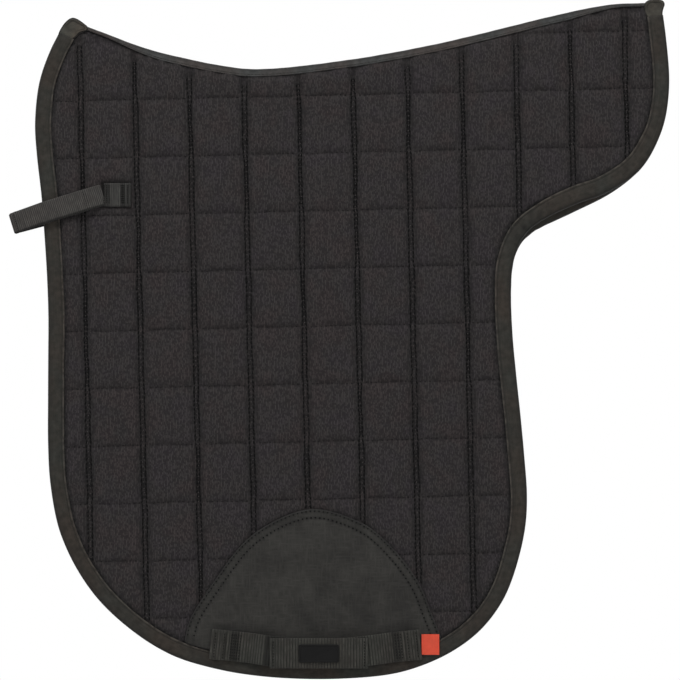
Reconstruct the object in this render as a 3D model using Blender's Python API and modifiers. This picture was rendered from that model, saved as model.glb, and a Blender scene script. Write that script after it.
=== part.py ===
"""Icelandic saddle pad, folded along its spine and hanging square-on, as on a rack.

Each half is a sandwich of quilted lining, foam core and quilted cover, bound round the edge with
a woven tape. A second tape closes the spine. Near the bottom each half carries a smooth patch
with a webbing loop for the girth, and near the front a webbing tongue for the saddle.

Lengths are in metres. X runs to the rear, Z up, and the near half lies at -Y. The origin is the
lowest point of the spine's top, where the saddle seats.
"""

import math

import bmesh
import bpy
from mathutils import Matrix, Vector
from mathutils.geometry import intersect_line_line_2d, intersect_point_line

MM = 0.001

# Clearance between pieces that touch, and the space between the two halves
FIT = 0.3 * MM
HALF_GAP = 0.5 * MM

# Layers of one half
TAPE_THICK = 1.2 * MM
CLOTH_THICK = 1.0 * MM
CORE_THICK = 4.0 * MM
COVER_LOFT = 3.0 * MM
CORE_SETBACK = 2.0 * MM

# Outline of one half: x to the rear and z up, from the seat of the spine
FRONT_TIP = (-161.6 * MM, 36.9 * MM)
FRONT_ROLL_R = 8.5 * MM
REAR_TIP = (363.6 * MM, 56.5 * MM)
REAR_ROLL_R = 5.4 * MM
SHOULDER_X = -196.2 * MM
FLAP_FRONT_X = -184.5 * MM
FLAP_REAR_X = 246.6 * MM
WAIST_X = 232.2 * MM
WING_REAR_X = 374.4 * MM
BOTTOM_X = 56.0 * MM
BOTTOM_Z = -549.0 * MM
WING_LOW_Z = -113.0 * MM
FAR_WING_SLACK = 5.5 * MM

# Edge binding and spine strip
BINDING_WIDTH = 15.0 * MM
STRIP_WIDTH = 7.0 * MM
SEAM_HEIGHT = 5.0 * MM

# Quilting: sewn channels run down the pad, plain sewn lines across it
CHANNEL_PITCH = 49.0 * MM
ROW_PITCH = 51.8 * MM
QUILT_TILT = math.radians(1.3)
QUILT_CROSSING = (-5.4 * MM, -129.2 * MM)
CHANNEL_HALF = 6.0 * MM
CHANNEL_RISE = 0.5 * MM
ROW_RISE = 1.4 * MM
RIM = 3.2 * MM

# Girth patch: a bell between the quilting and the bottom binding
PATCH_THICK = 2.5 * MM
PATCH_TOP = 153.0 * MM
PATCH_FRONT = 119.0 * MM
PATCH_REAR = 118.0 * MM

# Webbing loop on the patch
WEB_THICK = 1.6 * MM
GIRTH_WEB_WIDTH = 27.0 * MM
LOOP_RISE = 6.0 * MM
LOOP_ABOVE_EDGE = 25.0 * MM
CLOSURE_SHIFT = 3.4 * MM
CLOSURE_LENGTH = 88.0 * MM
STRAP_LAP = 18.0 * MM
FRONT_STRAP_SEWN = 31.0 * MM
REAR_STRAP_SEWN = 25.0 * MM
STRAP_RAMP = 22.0 * MM
STRAP_FOLD = 12.0 * MM
STRAP_TILT = math.radians(6.0)
TAB_TAPE_THICK = 0.6 * MM
TAB_TAPE_LENGTH = 15.0 * MM
TAB_TAPE_MARGIN = 1.5 * MM

# Plain badge on the near closure, and plain side label behind the near loop
BADGE_LENGTH = 36.0 * MM
BADGE_HEIGHT = 16.0 * MM
BADGE_THICK = 1.0 * MM
BADGE_CORNER = 1.5 * MM
LABEL_LENGTH = 16.0 * MM
LABEL_HEIGHT = 18.4 * MM
LABEL_THICK = 0.8 * MM
LABEL_GAP = 1.4 * MM

# Billet tongue and its sewn anchor near the front edge
TONGUE_ROOT = (-134.0 * MM, -113.5 * MM)
TONGUE_WIDTH = 19.5 * MM
TONGUE_LENGTH = 86.0 * MM
TONGUE_TILT = math.radians(17.0)
TONGUE_RAMP = 14.0 * MM
ANCHOR_LENGTH = 24.0 * MM
ANCHOR_MARGIN = 0.8 * MM
GRIP_THICK = 0.8 * MM
GRIP_LENGTH = 26.0 * MM
GRIP_MARGIN = 1.5 * MM

# How finely the curves are cut
TURN_STEP = math.radians(7.5)
LONG_STEP = 34.0 * MM
DENSE = 14
RISE_STEPS = 6
CORNER_STEPS = 4
ROLL_SIDES = 20
QUILT_REACH = 9
REACH = 40.0 * MM

# Levels of the layers, out from the fold plane
INNER_TAPE = HALF_GAP
LINING_FACE = INNER_TAPE + TAPE_THICK + FIT
LINING_BACK = LINING_FACE + CLOTH_THICK
CORE_FACE = LINING_BACK + FIT
CORE_BACK = CORE_FACE + CORE_THICK
COVER_BACK = CORE_BACK + FIT
COVER_FACE = COVER_BACK + CLOTH_THICK
COVER_CROWN = COVER_FACE + COVER_LOFT
OUTER_TAPE = COVER_FACE + FIT + TAPE_THICK
PATCH_BACK = COVER_FACE + FIT
PATCH_FACE = PATCH_BACK + PATCH_THICK
STRAP_BACK = PATCH_FACE + FIT
LOOP_BACK = PATCH_FACE + LOOP_RISE
LOOP_TAPE_BACK = LOOP_BACK + WEB_THICK + FIT
HOOK_TAPE_BACK = LOOP_TAPE_BACK + TAB_TAPE_THICK + FIT
CLOSURE_BACK = HOOK_TAPE_BACK + TAB_TAPE_THICK + FIT
CLOSURE_FACE = CLOSURE_BACK + WEB_THICK
FRONT_LOOP_BACK = CLOSURE_BACK - FIT - WEB_THICK
ANCHOR_FACE = COVER_FACE + FIT + 2 * WEB_THICK
GRIP_BACK = COVER_CROWN + FIT
TONGUE_BACK = GRIP_BACK + GRIP_THICK + FIT

# The line that both halves turn about, along the tops of the two tips
FOLD_FRONT = Vector((FRONT_TIP[0], 0, FRONT_TIP[1] + FRONT_ROLL_R))
FOLD_REAR = Vector((REAR_TIP[0], 0, REAR_TIP[1] + REAR_ROLL_R))

NEAR = "near"
OFF = "off"

MATERIALS = {
    "quilt": ((0.036, 0.033, 0.033), 0.92),
    "foam": ((0.30, 0.30, 0.29), 0.95),
    "tape": ((0.037, 0.034, 0.027), 0.85),
    "patch": ((0.035, 0.033, 0.030), 0.80),
    "webbing": ((0.045, 0.043, 0.039), 0.75),
    "grip": ((0.015, 0.015, 0.015), 0.95),
    "badge": ((0.010, 0.010, 0.011), 0.45),
    "label": ((0.80, 0.10, 0.06), 0.60),
}


def clear_scene():
    for old in list(bpy.data.objects):
        bpy.data.objects.remove(old, do_unlink=True)
    for old in list(bpy.data.collections):
        bpy.data.collections.remove(old)


def make_collection(name):
    made = bpy.data.collections.new(name)
    bpy.context.scene.collection.children.link(made)
    return made


def make_material(name):
    colour, roughness = MATERIALS[name]
    made = bpy.data.materials.new(name)
    made.use_nodes = True
    shader = made.node_tree.nodes["Principled BSDF"]
    shader.inputs["Base Color"].default_value = (*colour, 1.0)
    shader.inputs["Roughness"].default_value = roughness
    shader.inputs["Metallic"].default_value = 0.0
    return made


# Curves in the plane of a half: lists of 2D points, with the pad's inside on their left


def smooth(stations):
    """A smooth curve through the stations, cut more finely where it turns."""
    points = [Vector(station) for station in stations]
    points = [2 * points[0] - points[1], *points, 2 * points[-1] - points[-2]]
    dense = []
    for a, b, c, d in zip(points, points[1:], points[2:], points[3:]):
        ta = 0.0
        tb = ta + math.sqrt((b - a).length)
        tc = tb + math.sqrt((c - b).length)
        td = tc + math.sqrt((d - c).length)
        for k in range(DENSE):
            t = tb + (tc - tb) * k / DENSE
            ab = a.lerp(b, (t - ta) / (tb - ta))
            bc = b.lerp(c, (t - tb) / (tc - tb))
            cd = c.lerp(d, (t - tc) / (td - tc))
            abc = ab.lerp(bc, (t - ta) / (tc - ta))
            bcd = bc.lerp(cd, (t - tb) / (td - tb))
            dense.append(abc.lerp(bcd, (t - tb) / (tc - tb)))
    dense.append(points[-2].copy())
    return dense


def thin(dense):
    """Leaves out the points of a curve that its shape does without."""
    kept = [dense[0]]
    heading = dense[1] - dense[0]
    for here, after in zip(dense[1:], dense[2:]):
        ahead = after - here
        if heading.angle(ahead) > TURN_STEP or (here - kept[-1]).length > LONG_STEP:
            kept.append(here)
            heading = ahead
    kept.append(dense[-1])
    return kept


def normals(route):
    """The direction to the left of a curve at each of its points."""
    found = []
    for k in range(len(route)):
        along = route[min(k + 1, len(route) - 1)] - route[max(k - 1, 0)]
        found.append(Vector((-along.y, along.x)).normalized())
    return found


def inset(route, distance):
    return [point + normal * distance for point, normal in zip(route, normals(route))]


def lengthen(route):
    """Carries a curve straight on past both its ends."""
    first = route[0] + (route[0] - route[1]).normalized() * REACH
    last = route[-1] + (route[-1] - route[-2]).normalized() * REACH
    return [first, *route, last]


def crossing(first, second):
    """The first place along one curve where another crosses it."""
    for i in range(len(first) - 1):
        for j in range(len(second) - 1):
            met = intersect_line_line_2d(first[i], first[i + 1], second[j], second[j + 1])
            if met is not None:
                return i, j, Vector(met)
    raise ValueError("The two curves don't cross")


def enclosed(lower, upper):
    """A closed loop: one curve, then a second that crosses it near both its ends."""
    lower = lengthen(lower)
    upper = lengthen(upper)
    start, top_end, front = crossing(lower, upper[::-1])
    top_end = len(upper) - 1 - top_end
    back, top_start, rear = crossing(lower[::-1], upper)
    back = len(lower) - 1 - back
    return [front, *lower[start + 1 : back], rear, *upper[top_start + 1 : top_end]]


def edge_route(side):
    """The bound edge, from the front tip down, round the bottom and up to the rear tip."""
    slack = FAR_WING_SLACK if side == OFF else 0.0
    drop = BOTTOM_Z
    stations = [
        (FRONT_TIP[0] - 0.87 * FRONT_ROLL_R, FRONT_TIP[1] + 0.5 * FRONT_ROLL_R),
        (SHOULDER_X + 18.2 * MM, FRONT_TIP[1] - 10.8 * MM),
        (SHOULDER_X + 4.5 * MM, FRONT_TIP[1] - 46.8 * MM),
        (SHOULDER_X, FRONT_TIP[1] - 91.0 * MM),
        (SHOULDER_X + 5.4 * MM, FRONT_TIP[1] - 146.0 * MM),
        (FLAP_FRONT_X, drop + 341.0 * MM),
        (FLAP_FRONT_X, drop + 250.0 * MM),
        (FLAP_FRONT_X + 1.8 * MM, drop + 179.0 * MM),
        (FLAP_FRONT_X + 13.5 * MM, drop + 125.0 * MM),
        (FLAP_FRONT_X + 45.9 * MM, drop + 71.0 * MM),
        (FLAP_FRONT_X + 102.6 * MM, drop + 26.0 * MM),
        (FLAP_FRONT_X + 158.4 * MM, drop + 7.6 * MM),
        (BOTTOM_X, drop),
        (FLAP_REAR_X - 108.0 * MM, drop + 7.7 * MM),
        (FLAP_REAR_X - 52.2 * MM, drop + 35.1 * MM),
        (FLAP_REAR_X - 21.6 * MM, drop + 71.1 * MM),
        (FLAP_REAR_X - 3.6 * MM, drop + 125.1 * MM),
        (FLAP_REAR_X, drop + 161.0 * MM),
        (FLAP_REAR_X - 3.6 * MM, drop + 214.0 * MM),
        (WAIST_X + 1.8 * MM, WING_LOW_Z - 131.0 * MM),
        (WAIST_X, WING_LOW_Z - 95.0 * MM),
        (WAIST_X + 3.0 * MM, WING_LOW_Z - 58.0 * MM),
        (WAIST_X + 15.8 * MM, WING_LOW_Z - 32.8 * MM - 0.8 * slack),
        (WAIST_X + 54.0 * MM, WING_LOW_Z - 10.7 * MM - 1.15 * slack),
        (WING_REAR_X - 59.0 * MM, WING_LOW_Z - 0.55 * slack),
        (WING_REAR_X - 26.1 * MM, WING_LOW_Z + 22.1 * MM),
        (WING_REAR_X - 6.3 * MM, WING_LOW_Z + 58.0 * MM),
        (WING_REAR_X, WING_LOW_Z + 94.0 * MM),
        (WING_REAR_X - 1.3 * MM, WING_LOW_Z + 128.0 * MM),
        (REAR_TIP[0] + REAR_ROLL_R, REAR_TIP[1] - 1.5 * REAR_ROLL_R),
    ]
    return smooth(stations)


def top_route():
    """The spine's top, from the rear tip to the front tip."""
    front_x, front_z = FRONT_TIP
    rear_x, rear_z = REAR_TIP
    stations = [
        (rear_x - 6.0 * MM, rear_z + 3.2 * MM),
        (rear_x - 41.0 * MM, rear_z + 1.5 * MM),
        (rear_x - 94.0 * MM, rear_z - 8.8 * MM),
        (rear_x - 152.0 * MM, rear_z - 23.2 * MM),
        (rear_x - 216.0 * MM, rear_z - 37.6 * MM),
        (rear_x - 279.0 * MM, rear_z - 48.4 * MM),
        (0.0, 0.0),
        (front_x + 107.6 * MM, front_z - 28.8 * MM),
        (front_x + 64.4 * MM, front_z - 18.0 * MM),
        (front_x + 34.6 * MM, front_z - 7.2 * MM),
        (front_x + 11.6 * MM, front_z + 1.6 * MM),
    ]
    return smooth(stations)


def panel_loop(side, edge_inset, top_inset):
    """The outline of a half, drawn in by one distance at its edge and another at its spine."""
    edge = inset(thin(edge_route(side)), edge_inset)
    return enclosed(edge, inset(thin(top_route()), top_inset))


def cut_back(dense, depth, keep_off):
    """Thins a curve, and cuts it back until a tape along it keeps off the given round places."""

    def fits(point, normal):
        for centre, radius in keep_off:
            near, share = intersect_point_line(centre, point, point + normal * depth)
            near = point + normal * depth * min(max(share, 0.0), 1.0)
            if (near - centre).length < radius:
                return False
        return True

    good = [fits(p, n) for p, n in zip(dense, normals(dense))]
    first = good.index(True)
    last = len(good) - 1 - good[::-1].index(True)
    between = [p for p in thin(dense) if first + 1 < dense.index(p) < last - 1]
    return [dense[first], *between, dense[last]]


ROLLS = [
    (Vector(FRONT_TIP), FRONT_ROLL_R + FIT),
    (Vector(REAR_TIP), REAR_ROLL_R + FIT),
]


def binding_route(side):
    return cut_back(edge_route(side), BINDING_WIDTH, ROLLS)


def strip_route():
    """The spine strip's line, clear of both rolls and of the bindings' upper ends."""
    ends = []
    for side in (NEAR, OFF):
        bound = binding_route(side)
        ends += [(bound[0], BINDING_WIDTH + FIT), (bound[-1], BINDING_WIDTH + FIT)]
    return cut_back(top_route(), STRIP_WIDTH, ROLLS + ends)


def bell_route():
    """The patch's arched upper edge, from its front foot over the top to its rear foot."""
    top = BOTTOM_Z + PATCH_TOP
    front = BOTTOM_X - PATCH_FRONT
    rear = BOTTOM_X + PATCH_REAR
    return smooth(
        [
            (rear, BOTTOM_Z + 25.0 * MM),
            (rear - 7.5 * MM, BOTTOM_Z + 42.3 * MM),
            (rear - 24.0 * MM, top - 68.0 * MM),
            (rear - 52.0 * MM, top - 31.0 * MM),
            (rear - 77.0 * MM, top - 12.0 * MM),
            (BOTTOM_X - 4.7 * MM, top),
            (front + 62.1 * MM, top - 23.4 * MM),
            (front + 28.8 * MM, top - 63.9 * MM),
            (front + 6.3 * MM, top - 99.9 * MM),
            (front, BOTTOM_Z + 25.0 * MM),
        ]
    )


def patch_loop(side, grow):
    """The patch's outline, let out all round by the given distance."""
    lower = inset(thin(edge_route(side)), BINDING_WIDTH + FIT - grow)
    return enclosed(lower, inset(thin(bell_route()), -grow))


def box_loop(centre, length, height, tilt=0.0, corner=0.0):
    """A rectangle in the plane of a half, with round corners where a radius is given."""
    along = Vector((math.cos(tilt), math.sin(tilt)))
    across = Vector((-along.y, along.x))
    steps = CORNER_STEPS if corner else 0
    loop = []
    for quarter, (sx, sy) in enumerate(((1, 1), (-1, 1), (-1, -1), (1, -1))):
        hub = Vector((sx * (length / 2 - corner), sy * (height / 2 - corner)))
        for k in range(steps + 1):
            turn = math.pi / 2 * (quarter + (k / steps if steps else 0))
            spot = hub + corner * Vector((math.cos(turn), math.sin(turn)))
            loop.append(Vector(centre) + spot.x * along + spot.y * across)
    return loop


# Solids. They are shaped lying down, with z out from the fold plane, and then stood up


def stand_up(mesh, side):
    """Turns a mesh from lying in its half's own plane to its place on that side of the fold."""
    if side == OFF:
        mesh.transform(Matrix(((1, 0, 0, 0), (0, 0, 1, 0), (0, 1, 0, 0), (0, 0, 0, 1))))
        mesh.flip_normals()
    else:
        mesh.transform(Matrix.Rotation(math.pi / 2, 4, "X"))


def as_mesh(curve, name):
    """The welded mesh of a curve, which is then taken away."""
    guide = bpy.data.objects.new(name, curve)
    bpy.context.scene.collection.objects.link(guide)
    bpy.context.view_layer.update()
    seen = guide.evaluated_get(bpy.context.evaluated_depsgraph_get())
    mesh = bpy.data.meshes.new_from_object(seen)
    bpy.data.objects.remove(guide, do_unlink=True)
    bm = bmesh.new()
    bm.from_mesh(mesh)
    bmesh.ops.remove_doubles(bm, verts=bm.verts, dist=0.01 * MM)
    bmesh.ops.recalc_face_normals(bm, faces=bm.faces)
    bm.to_mesh(mesh)
    bm.free()
    mesh.name = name
    return mesh


def poly_curve(name, points, closed):
    curve = bpy.data.curves.new(name, "CURVE")
    curve.dimensions = "2D"
    spline = curve.splines.new("POLY")
    spline.points.add(len(points) - 1)
    for spot, point in zip(spline.points, points):
        spot.co = (point.x, point.y, 0.0, 1.0)
    spline.use_cyclic_u = closed
    return curve


def plate_mesh(name, loop, low, high):
    """A flat sheet of the given outline between two levels."""
    curve = poly_curve(name, loop, True)
    curve.fill_mode = "BOTH"
    curve.extrude = (high - low) / 2
    mesh = as_mesh(curve, name)
    mesh.transform(Matrix.Translation((0, 0, (high + low) / 2)))
    return mesh


def plate(name, side, loop, low, high):
    mesh = plate_mesh(name, loop, low, high)
    stand_up(mesh, side)
    return mesh


def swept(name, side, route, profile):
    """A tape folded to the given closed profile, run along a curve."""
    section = bpy.data.objects.new(name + " section", poly_curve(name + " section", profile, True))
    bpy.context.scene.collection.objects.link(section)
    curve = poly_curve(name, route, False)
    curve.fill_mode = "NONE"
    curve.bevel_mode = "OBJECT"
    curve.bevel_object = section
    curve.use_fill_caps = True
    mesh = as_mesh(curve, name)
    bpy.data.objects.remove(section, do_unlink=True)
    stand_up(mesh, side)
    return mesh


def rise(start, length, low, high):
    """A strap's underside where it swings smoothly from one level to another."""
    turns = [math.pi * k / RISE_STEPS for k in range(RISE_STEPS + 1)]
    return [
        (start + length * turn / math.pi, low + (high - low) * (1 - math.cos(turn)) / 2)
        for turn in turns
    ]


def strip_mesh(name, side, start, heading, underside, width, thick, fold=0.0):
    """A strap: its side view, drawn along its length, given its width across the pad.

    underside lists (distance along, level) pairs. The first stretch, fold long, is two layers.
    """
    under = [Vector(spot) for spot in underside]
    over = inset(under, thick)
    if fold:
        over = [p for p in over if p.x > fold + thick]
        base = underside[0][1]
        over = [
            Vector((0.0, base + 2 * thick)),
            Vector((fold, base + 2 * thick)),
            Vector((fold + thick / 2, base + thick)),
            *over,
        ]
    curve = poly_curve(name, under + over[::-1], True)
    curve.fill_mode = "BOTH"
    curve.extrude = width / 2
    mesh = as_mesh(curve, name)
    c, s = math.cos(heading), math.sin(heading)
    mesh.transform(Matrix(((c, 0, s, start[0]), (s, 0, -c, start[1]), (0, 1, 0, 0), (0, 0, 0, 1))))
    stand_up(mesh, side)
    return mesh


def quilted(name, side, flat_tops, deep, sewn, crossed, crown):
    """A sheet of stuffed squares between sewn lines, larger all round than the half.

    Each square rises to a ridge across its middle. With flat tops its channels have steep sides,
    and otherwise it slopes evenly from channel to crown.
    """
    across = [0.0, CHANNEL_PITCH / 2]
    if flat_tops:
        across = [0.0, CHANNEL_HALF, CHANNEL_PITCH - CHANNEL_HALF]
    along = [0.0, ROW_PITCH / 2]
    columns = 2 * QUILT_REACH * len(across)
    rows = 2 * QUILT_REACH * len(along)
    bm = bmesh.new()
    bmesh.ops.create_grid(bm, x_segments=columns, y_segments=rows, size=1.0)
    turn = Matrix.Rotation(QUILT_TILT, 2)
    for index, vert in enumerate(bm.verts):
        row, column = divmod(index, columns + 1)
        square_x, part_x = divmod(column, len(across))
        square_y, part_y = divmod(row, len(along))
        x = (square_x - QUILT_REACH) * CHANNEL_PITCH + across[part_x]
        y = (square_y - QUILT_REACH) * ROW_PITCH + along[part_y]
        spot = Vector(QUILT_CROSSING) + turn @ Vector((x, y))
        level = sewn if part_x == 0 else crossed if part_y == 0 else crown
        vert.co = (spot.x, spot.y, level)
    raised = bmesh.ops.extrude_face_region(bm, geom=bm.faces[:])["geom"]
    for vert in raised:
        if isinstance(vert, bmesh.types.BMVert):
            vert.co.z = deep
    bmesh.ops.recalc_face_normals(bm, faces=bm.faces)
    mesh = bpy.data.meshes.new(name)
    bm.to_mesh(mesh)
    bm.free()
    stand_up(mesh, side)
    return mesh


def blank(name, side, loop, base, top, rim):
    """The body of a quilted sheet: its outline raised off the base, with its rim drawn in."""
    bm = bmesh.new()
    face = bm.faces.new([bm.verts.new((p.x, p.y, base)) for p in loop])
    way = 1 if top > base else -1
    raised = bmesh.ops.extrude_face_region(bm, geom=[face])["geom"]
    lid = [item for item in raised if isinstance(item, bmesh.types.BMFace)]
    for vert in lid[0].verts:
        vert.co.z = top - way * rim
    bmesh.ops.recalc_face_normals(bm, faces=bm.faces)
    bmesh.ops.inset_region(bm, faces=lid, thickness=rim, depth=rim, use_even_offset=True)
    mesh = bpy.data.meshes.new(name)
    bm.to_mesh(mesh)
    bm.free()
    stand_up(mesh, side)
    return mesh


def roll_mesh(name, centre, radius, half_width):
    """A short cylinder lying across the fold."""
    bm = bmesh.new()
    bmesh.ops.create_cone(
        bm,
        cap_ends=True,
        segments=ROLL_SIDES,
        radius1=radius,
        radius2=radius,
        depth=2 * half_width,
    )
    mesh = bpy.data.meshes.new(name)
    bm.to_mesh(mesh)
    bm.free()
    mesh.transform(Matrix.Rotation(math.pi / 2, 4, "X"))
    mesh.transform(Matrix.Translation((centre[0], 0, centre[1])))
    return mesh


# Objects


def add_piece(name, mesh, material, pivot, bevel=0.0):
    """A named piece under its body's pivot, which lies on the body's joint axis."""
    mesh.transform(Matrix.Translation(-pivot.location))
    piece = bpy.data.objects.new(name, mesh)
    pad.objects.link(piece)
    piece.parent = pivot
    mesh.materials.clear()
    mesh.materials.append(materials[material])
    if bevel:
        edge = piece.modifiers.new("rounded edges", "BEVEL")
        edge.width = bevel
        edge.segments = 2
        edge.limit_method = "ANGLE"
        edge.angle_limit = math.radians(50)
    return piece


def add_cutter(name, mesh):
    cutter = bpy.data.objects.new(name, mesh)
    cutters.objects.link(cutter)
    cutter.display_type = "WIRE"
    cutter.hide_render = True
    return cutter


def combine(piece, operation, cutter):
    step = piece.modifiers.new(cutter.name, "BOOLEAN")
    step.operation = operation
    step.object = cutter
    step.solver = "EXACT"


def add_pivot(name, place):
    pivot = bpy.data.objects.new(name, None)
    pad.objects.link(pivot)
    pivot.location = place
    pivot.empty_display_size = 20 * MM
    return pivot


def outward(side, x, level, z):
    """A world point from a place in the plane of a half and a level."""
    return Vector((x, level if side == OFF else -level, z))


def build_spine(pivot):
    """The strip that closes the spine, the bound seam inside it and the rolled tape at each tip."""
    side_face = OUTER_TAPE
    strip = [
        (0, -side_face),
        (STRIP_WIDTH, -side_face),
        (STRIP_WIDTH, TAPE_THICK - side_face),
        (TAPE_THICK, TAPE_THICK - side_face),
        (TAPE_THICK, side_face - TAPE_THICK),
        (STRIP_WIDTH, side_face - TAPE_THICK),
        (STRIP_WIDTH, side_face),
        (0, side_face),
    ]
    profile = [Vector((-x, y)) for x, y in strip]
    mesh = swept("spine_strip", NEAR, strip_route(), profile)
    add_piece("spine_strip", mesh, "tape", pivot)

    top = TAPE_THICK + FIT
    half = LINING_FACE - FIT
    seam = [(top, -half), (top + SEAM_HEIGHT, -half), (top + SEAM_HEIGHT, half), (top, half)]
    profile = [Vector((-x, y)) for x, y in seam]
    mesh = swept("spine_seam_tape", NEAR, strip_route(), profile)
    add_piece("spine_seam_tape", mesh, "tape", pivot)

    for name, centre, radius in (
        ("front_tip_roll", FRONT_TIP, FRONT_ROLL_R),
        ("rear_tip_roll", REAR_TIP, REAR_ROLL_R),
    ):
        mesh = roll_mesh(name, centre, radius, OUTER_TAPE)
        add_piece(name, mesh, "tape", pivot, bevel=TAPE_THICK)
        add_cutter(name + " room", roll_mesh(name, centre, radius + FIT, 2 * COVER_CROWN))


def cut_tips(piece):
    for name in ("front_tip_roll room", "rear_tip_roll room"):
        combine(piece, "DIFFERENCE", cutters.objects[name])


def build_panel(side, pivot):
    """The quilted cover, foam core, quilted lining and edge binding of one half."""
    under_tape = TAPE_THICK + FIT
    flange = panel_loop(side, under_tape, under_tape)
    middle = panel_loop(side, BINDING_WIDTH + FIT, STRIP_WIDTH + FIT)

    name = side + "_quilted_cover"
    inside = (COVER_BACK + COVER_FACE) / 2
    crown_room = COVER_CROWN + FIT
    mesh = blank(name, side, middle, inside, crown_room, RIM)
    cover = add_piece(name, mesh, "quilt", pivot)
    sewn = COVER_FACE + CHANNEL_RISE
    crossed = COVER_FACE + ROW_RISE
    squares = quilted(name + " squares", side, True, CORE_FACE, sewn, crossed, COVER_CROWN)
    combine(cover, "INTERSECT", add_cutter(name + " squares", squares))
    bed = plate(name + " patch bed", side, patch_loop(side, FIT), CORE_BACK, 2 * COVER_CROWN)
    combine(cover, "DIFFERENCE", add_cutter(name + " patch bed", bed))
    bed = plate(name + " anchor bed", side, anchor_bed_loop(), CORE_BACK, 2 * COVER_CROWN)
    combine(cover, "DIFFERENCE", add_cutter(name + " anchor bed", bed))
    sheet = plate(name + " sheet", side, flange, COVER_BACK, COVER_FACE)
    combine(cover, "UNION", add_cutter(name + " sheet", sheet))
    cut_tips(cover)

    name = side + "_foam_core"
    setback = under_tape + CORE_SETBACK
    loop = panel_loop(side, setback, setback)
    core = add_piece(name, plate(name, side, loop, CORE_FACE, CORE_BACK), "foam", pivot)
    cut_tips(core)

    name = side + "_lining"
    inside = (LINING_FACE + LINING_BACK) / 2
    crown = INNER_TAPE
    mesh = blank(name, side, middle, inside, crown - FIT / 2, LINING_FACE - crown)
    lining = add_piece(name, mesh, "quilt", pivot)
    sewn = LINING_FACE - FIT
    squares = quilted(name + " squares", side, False, CORE_BACK, sewn, sewn, crown)
    combine(lining, "INTERSECT", add_cutter(name + " squares", squares))
    sheet = plate(name + " sheet", side, flange, LINING_FACE, LINING_BACK)
    combine(lining, "UNION", add_cutter(name + " sheet", sheet))
    cut_tips(lining)

    name = side + "_edge_binding"
    tape = [
        (0, INNER_TAPE),
        (BINDING_WIDTH, INNER_TAPE),
        (BINDING_WIDTH, INNER_TAPE + TAPE_THICK),
        (TAPE_THICK, INNER_TAPE + TAPE_THICK),
        (TAPE_THICK, OUTER_TAPE - TAPE_THICK),
        (BINDING_WIDTH, OUTER_TAPE - TAPE_THICK),
        (BINDING_WIDTH, OUTER_TAPE),
        (0, OUTER_TAPE),
    ]
    profile = [Vector((-x, y)) for x, y in tape]
    add_piece(name, swept(name, side, binding_route(side), profile), "tape", pivot)


def anchor_bed_loop():
    """The recess that the sewn anchor and the tongue's root press into the quilting."""
    root = Vector(TONGUE_ROOT)
    length = ANCHOR_LENGTH + TONGUE_RAMP + 2 * FIT
    centre = root + Vector(((ANCHOR_LENGTH - TONGUE_RAMP) / 2, 0))
    height = TONGUE_WIDTH + 2 * ANCHOR_MARGIN + TONGUE_RAMP * math.sin(TONGUE_TILT) * 2
    return box_loop(centre, length, height)


def build_girth_side(side, pivot):
    """The patch and the two webbing straps that hold the loop off it."""
    name = side + "_girth_patch"
    mesh = plate(name, side, patch_loop(side, 0.0), PATCH_BACK, PATCH_FACE)
    add_piece(name, mesh, "patch", pivot, bevel=TAPE_THICK)

    for name, way, heading, sewn, end_level in (
        (side + "_girth_strap_front", -1, -STRAP_TILT, FRONT_STRAP_SEWN, FRONT_LOOP_BACK),
        (side + "_girth_strap_rear", 1, math.pi + STRAP_TILT, REAR_STRAP_SEWN, LOOP_BACK),
    ):
        length = sewn + STRAP_RAMP + STRAP_LAP
        underside = [
            (0.0, STRAP_BACK),
            *rise(sewn, STRAP_RAMP, STRAP_BACK, end_level),
            (length, end_level),
        ]
        start = strap_spot(way, length)
        mesh = strip_mesh(
            name, side, start, heading, underside, GIRTH_WEB_WIDTH, WEB_THICK, STRAP_FOLD
        )
        add_piece(name, mesh, "webbing", pivot)

    name = side + "_strap_loop_tape"
    height = GIRTH_WEB_WIDTH - 2 * TAB_TAPE_MARGIN
    loop = box_loop(strap_spot(1, STRAP_LAP / 2), TAB_TAPE_LENGTH, height, STRAP_TILT)
    mesh = plate(name, side, loop, LOOP_TAPE_BACK, LOOP_TAPE_BACK + TAB_TAPE_THICK)
    add_piece(name, mesh, "grip", pivot)


def closure_centre():
    return Vector((BOTTOM_X + CLOSURE_SHIFT, BOTTOM_Z + LOOP_ABOVE_EDGE))


def closure_end(way):
    """The middle of the closure's front (-1) or rear (1) end."""
    return closure_centre() + Vector((way * CLOSURE_LENGTH / 2, 0))


def strap_spot(way, distance):
    """A place on a strap's middle line, at a distance from its raised end under the closure."""
    raised_end = closure_end(way) - Vector((way * STRAP_LAP, 0))
    outward_way = Vector((way * math.cos(STRAP_TILT), math.sin(STRAP_TILT)))
    return raised_end + outward_way * distance


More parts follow.
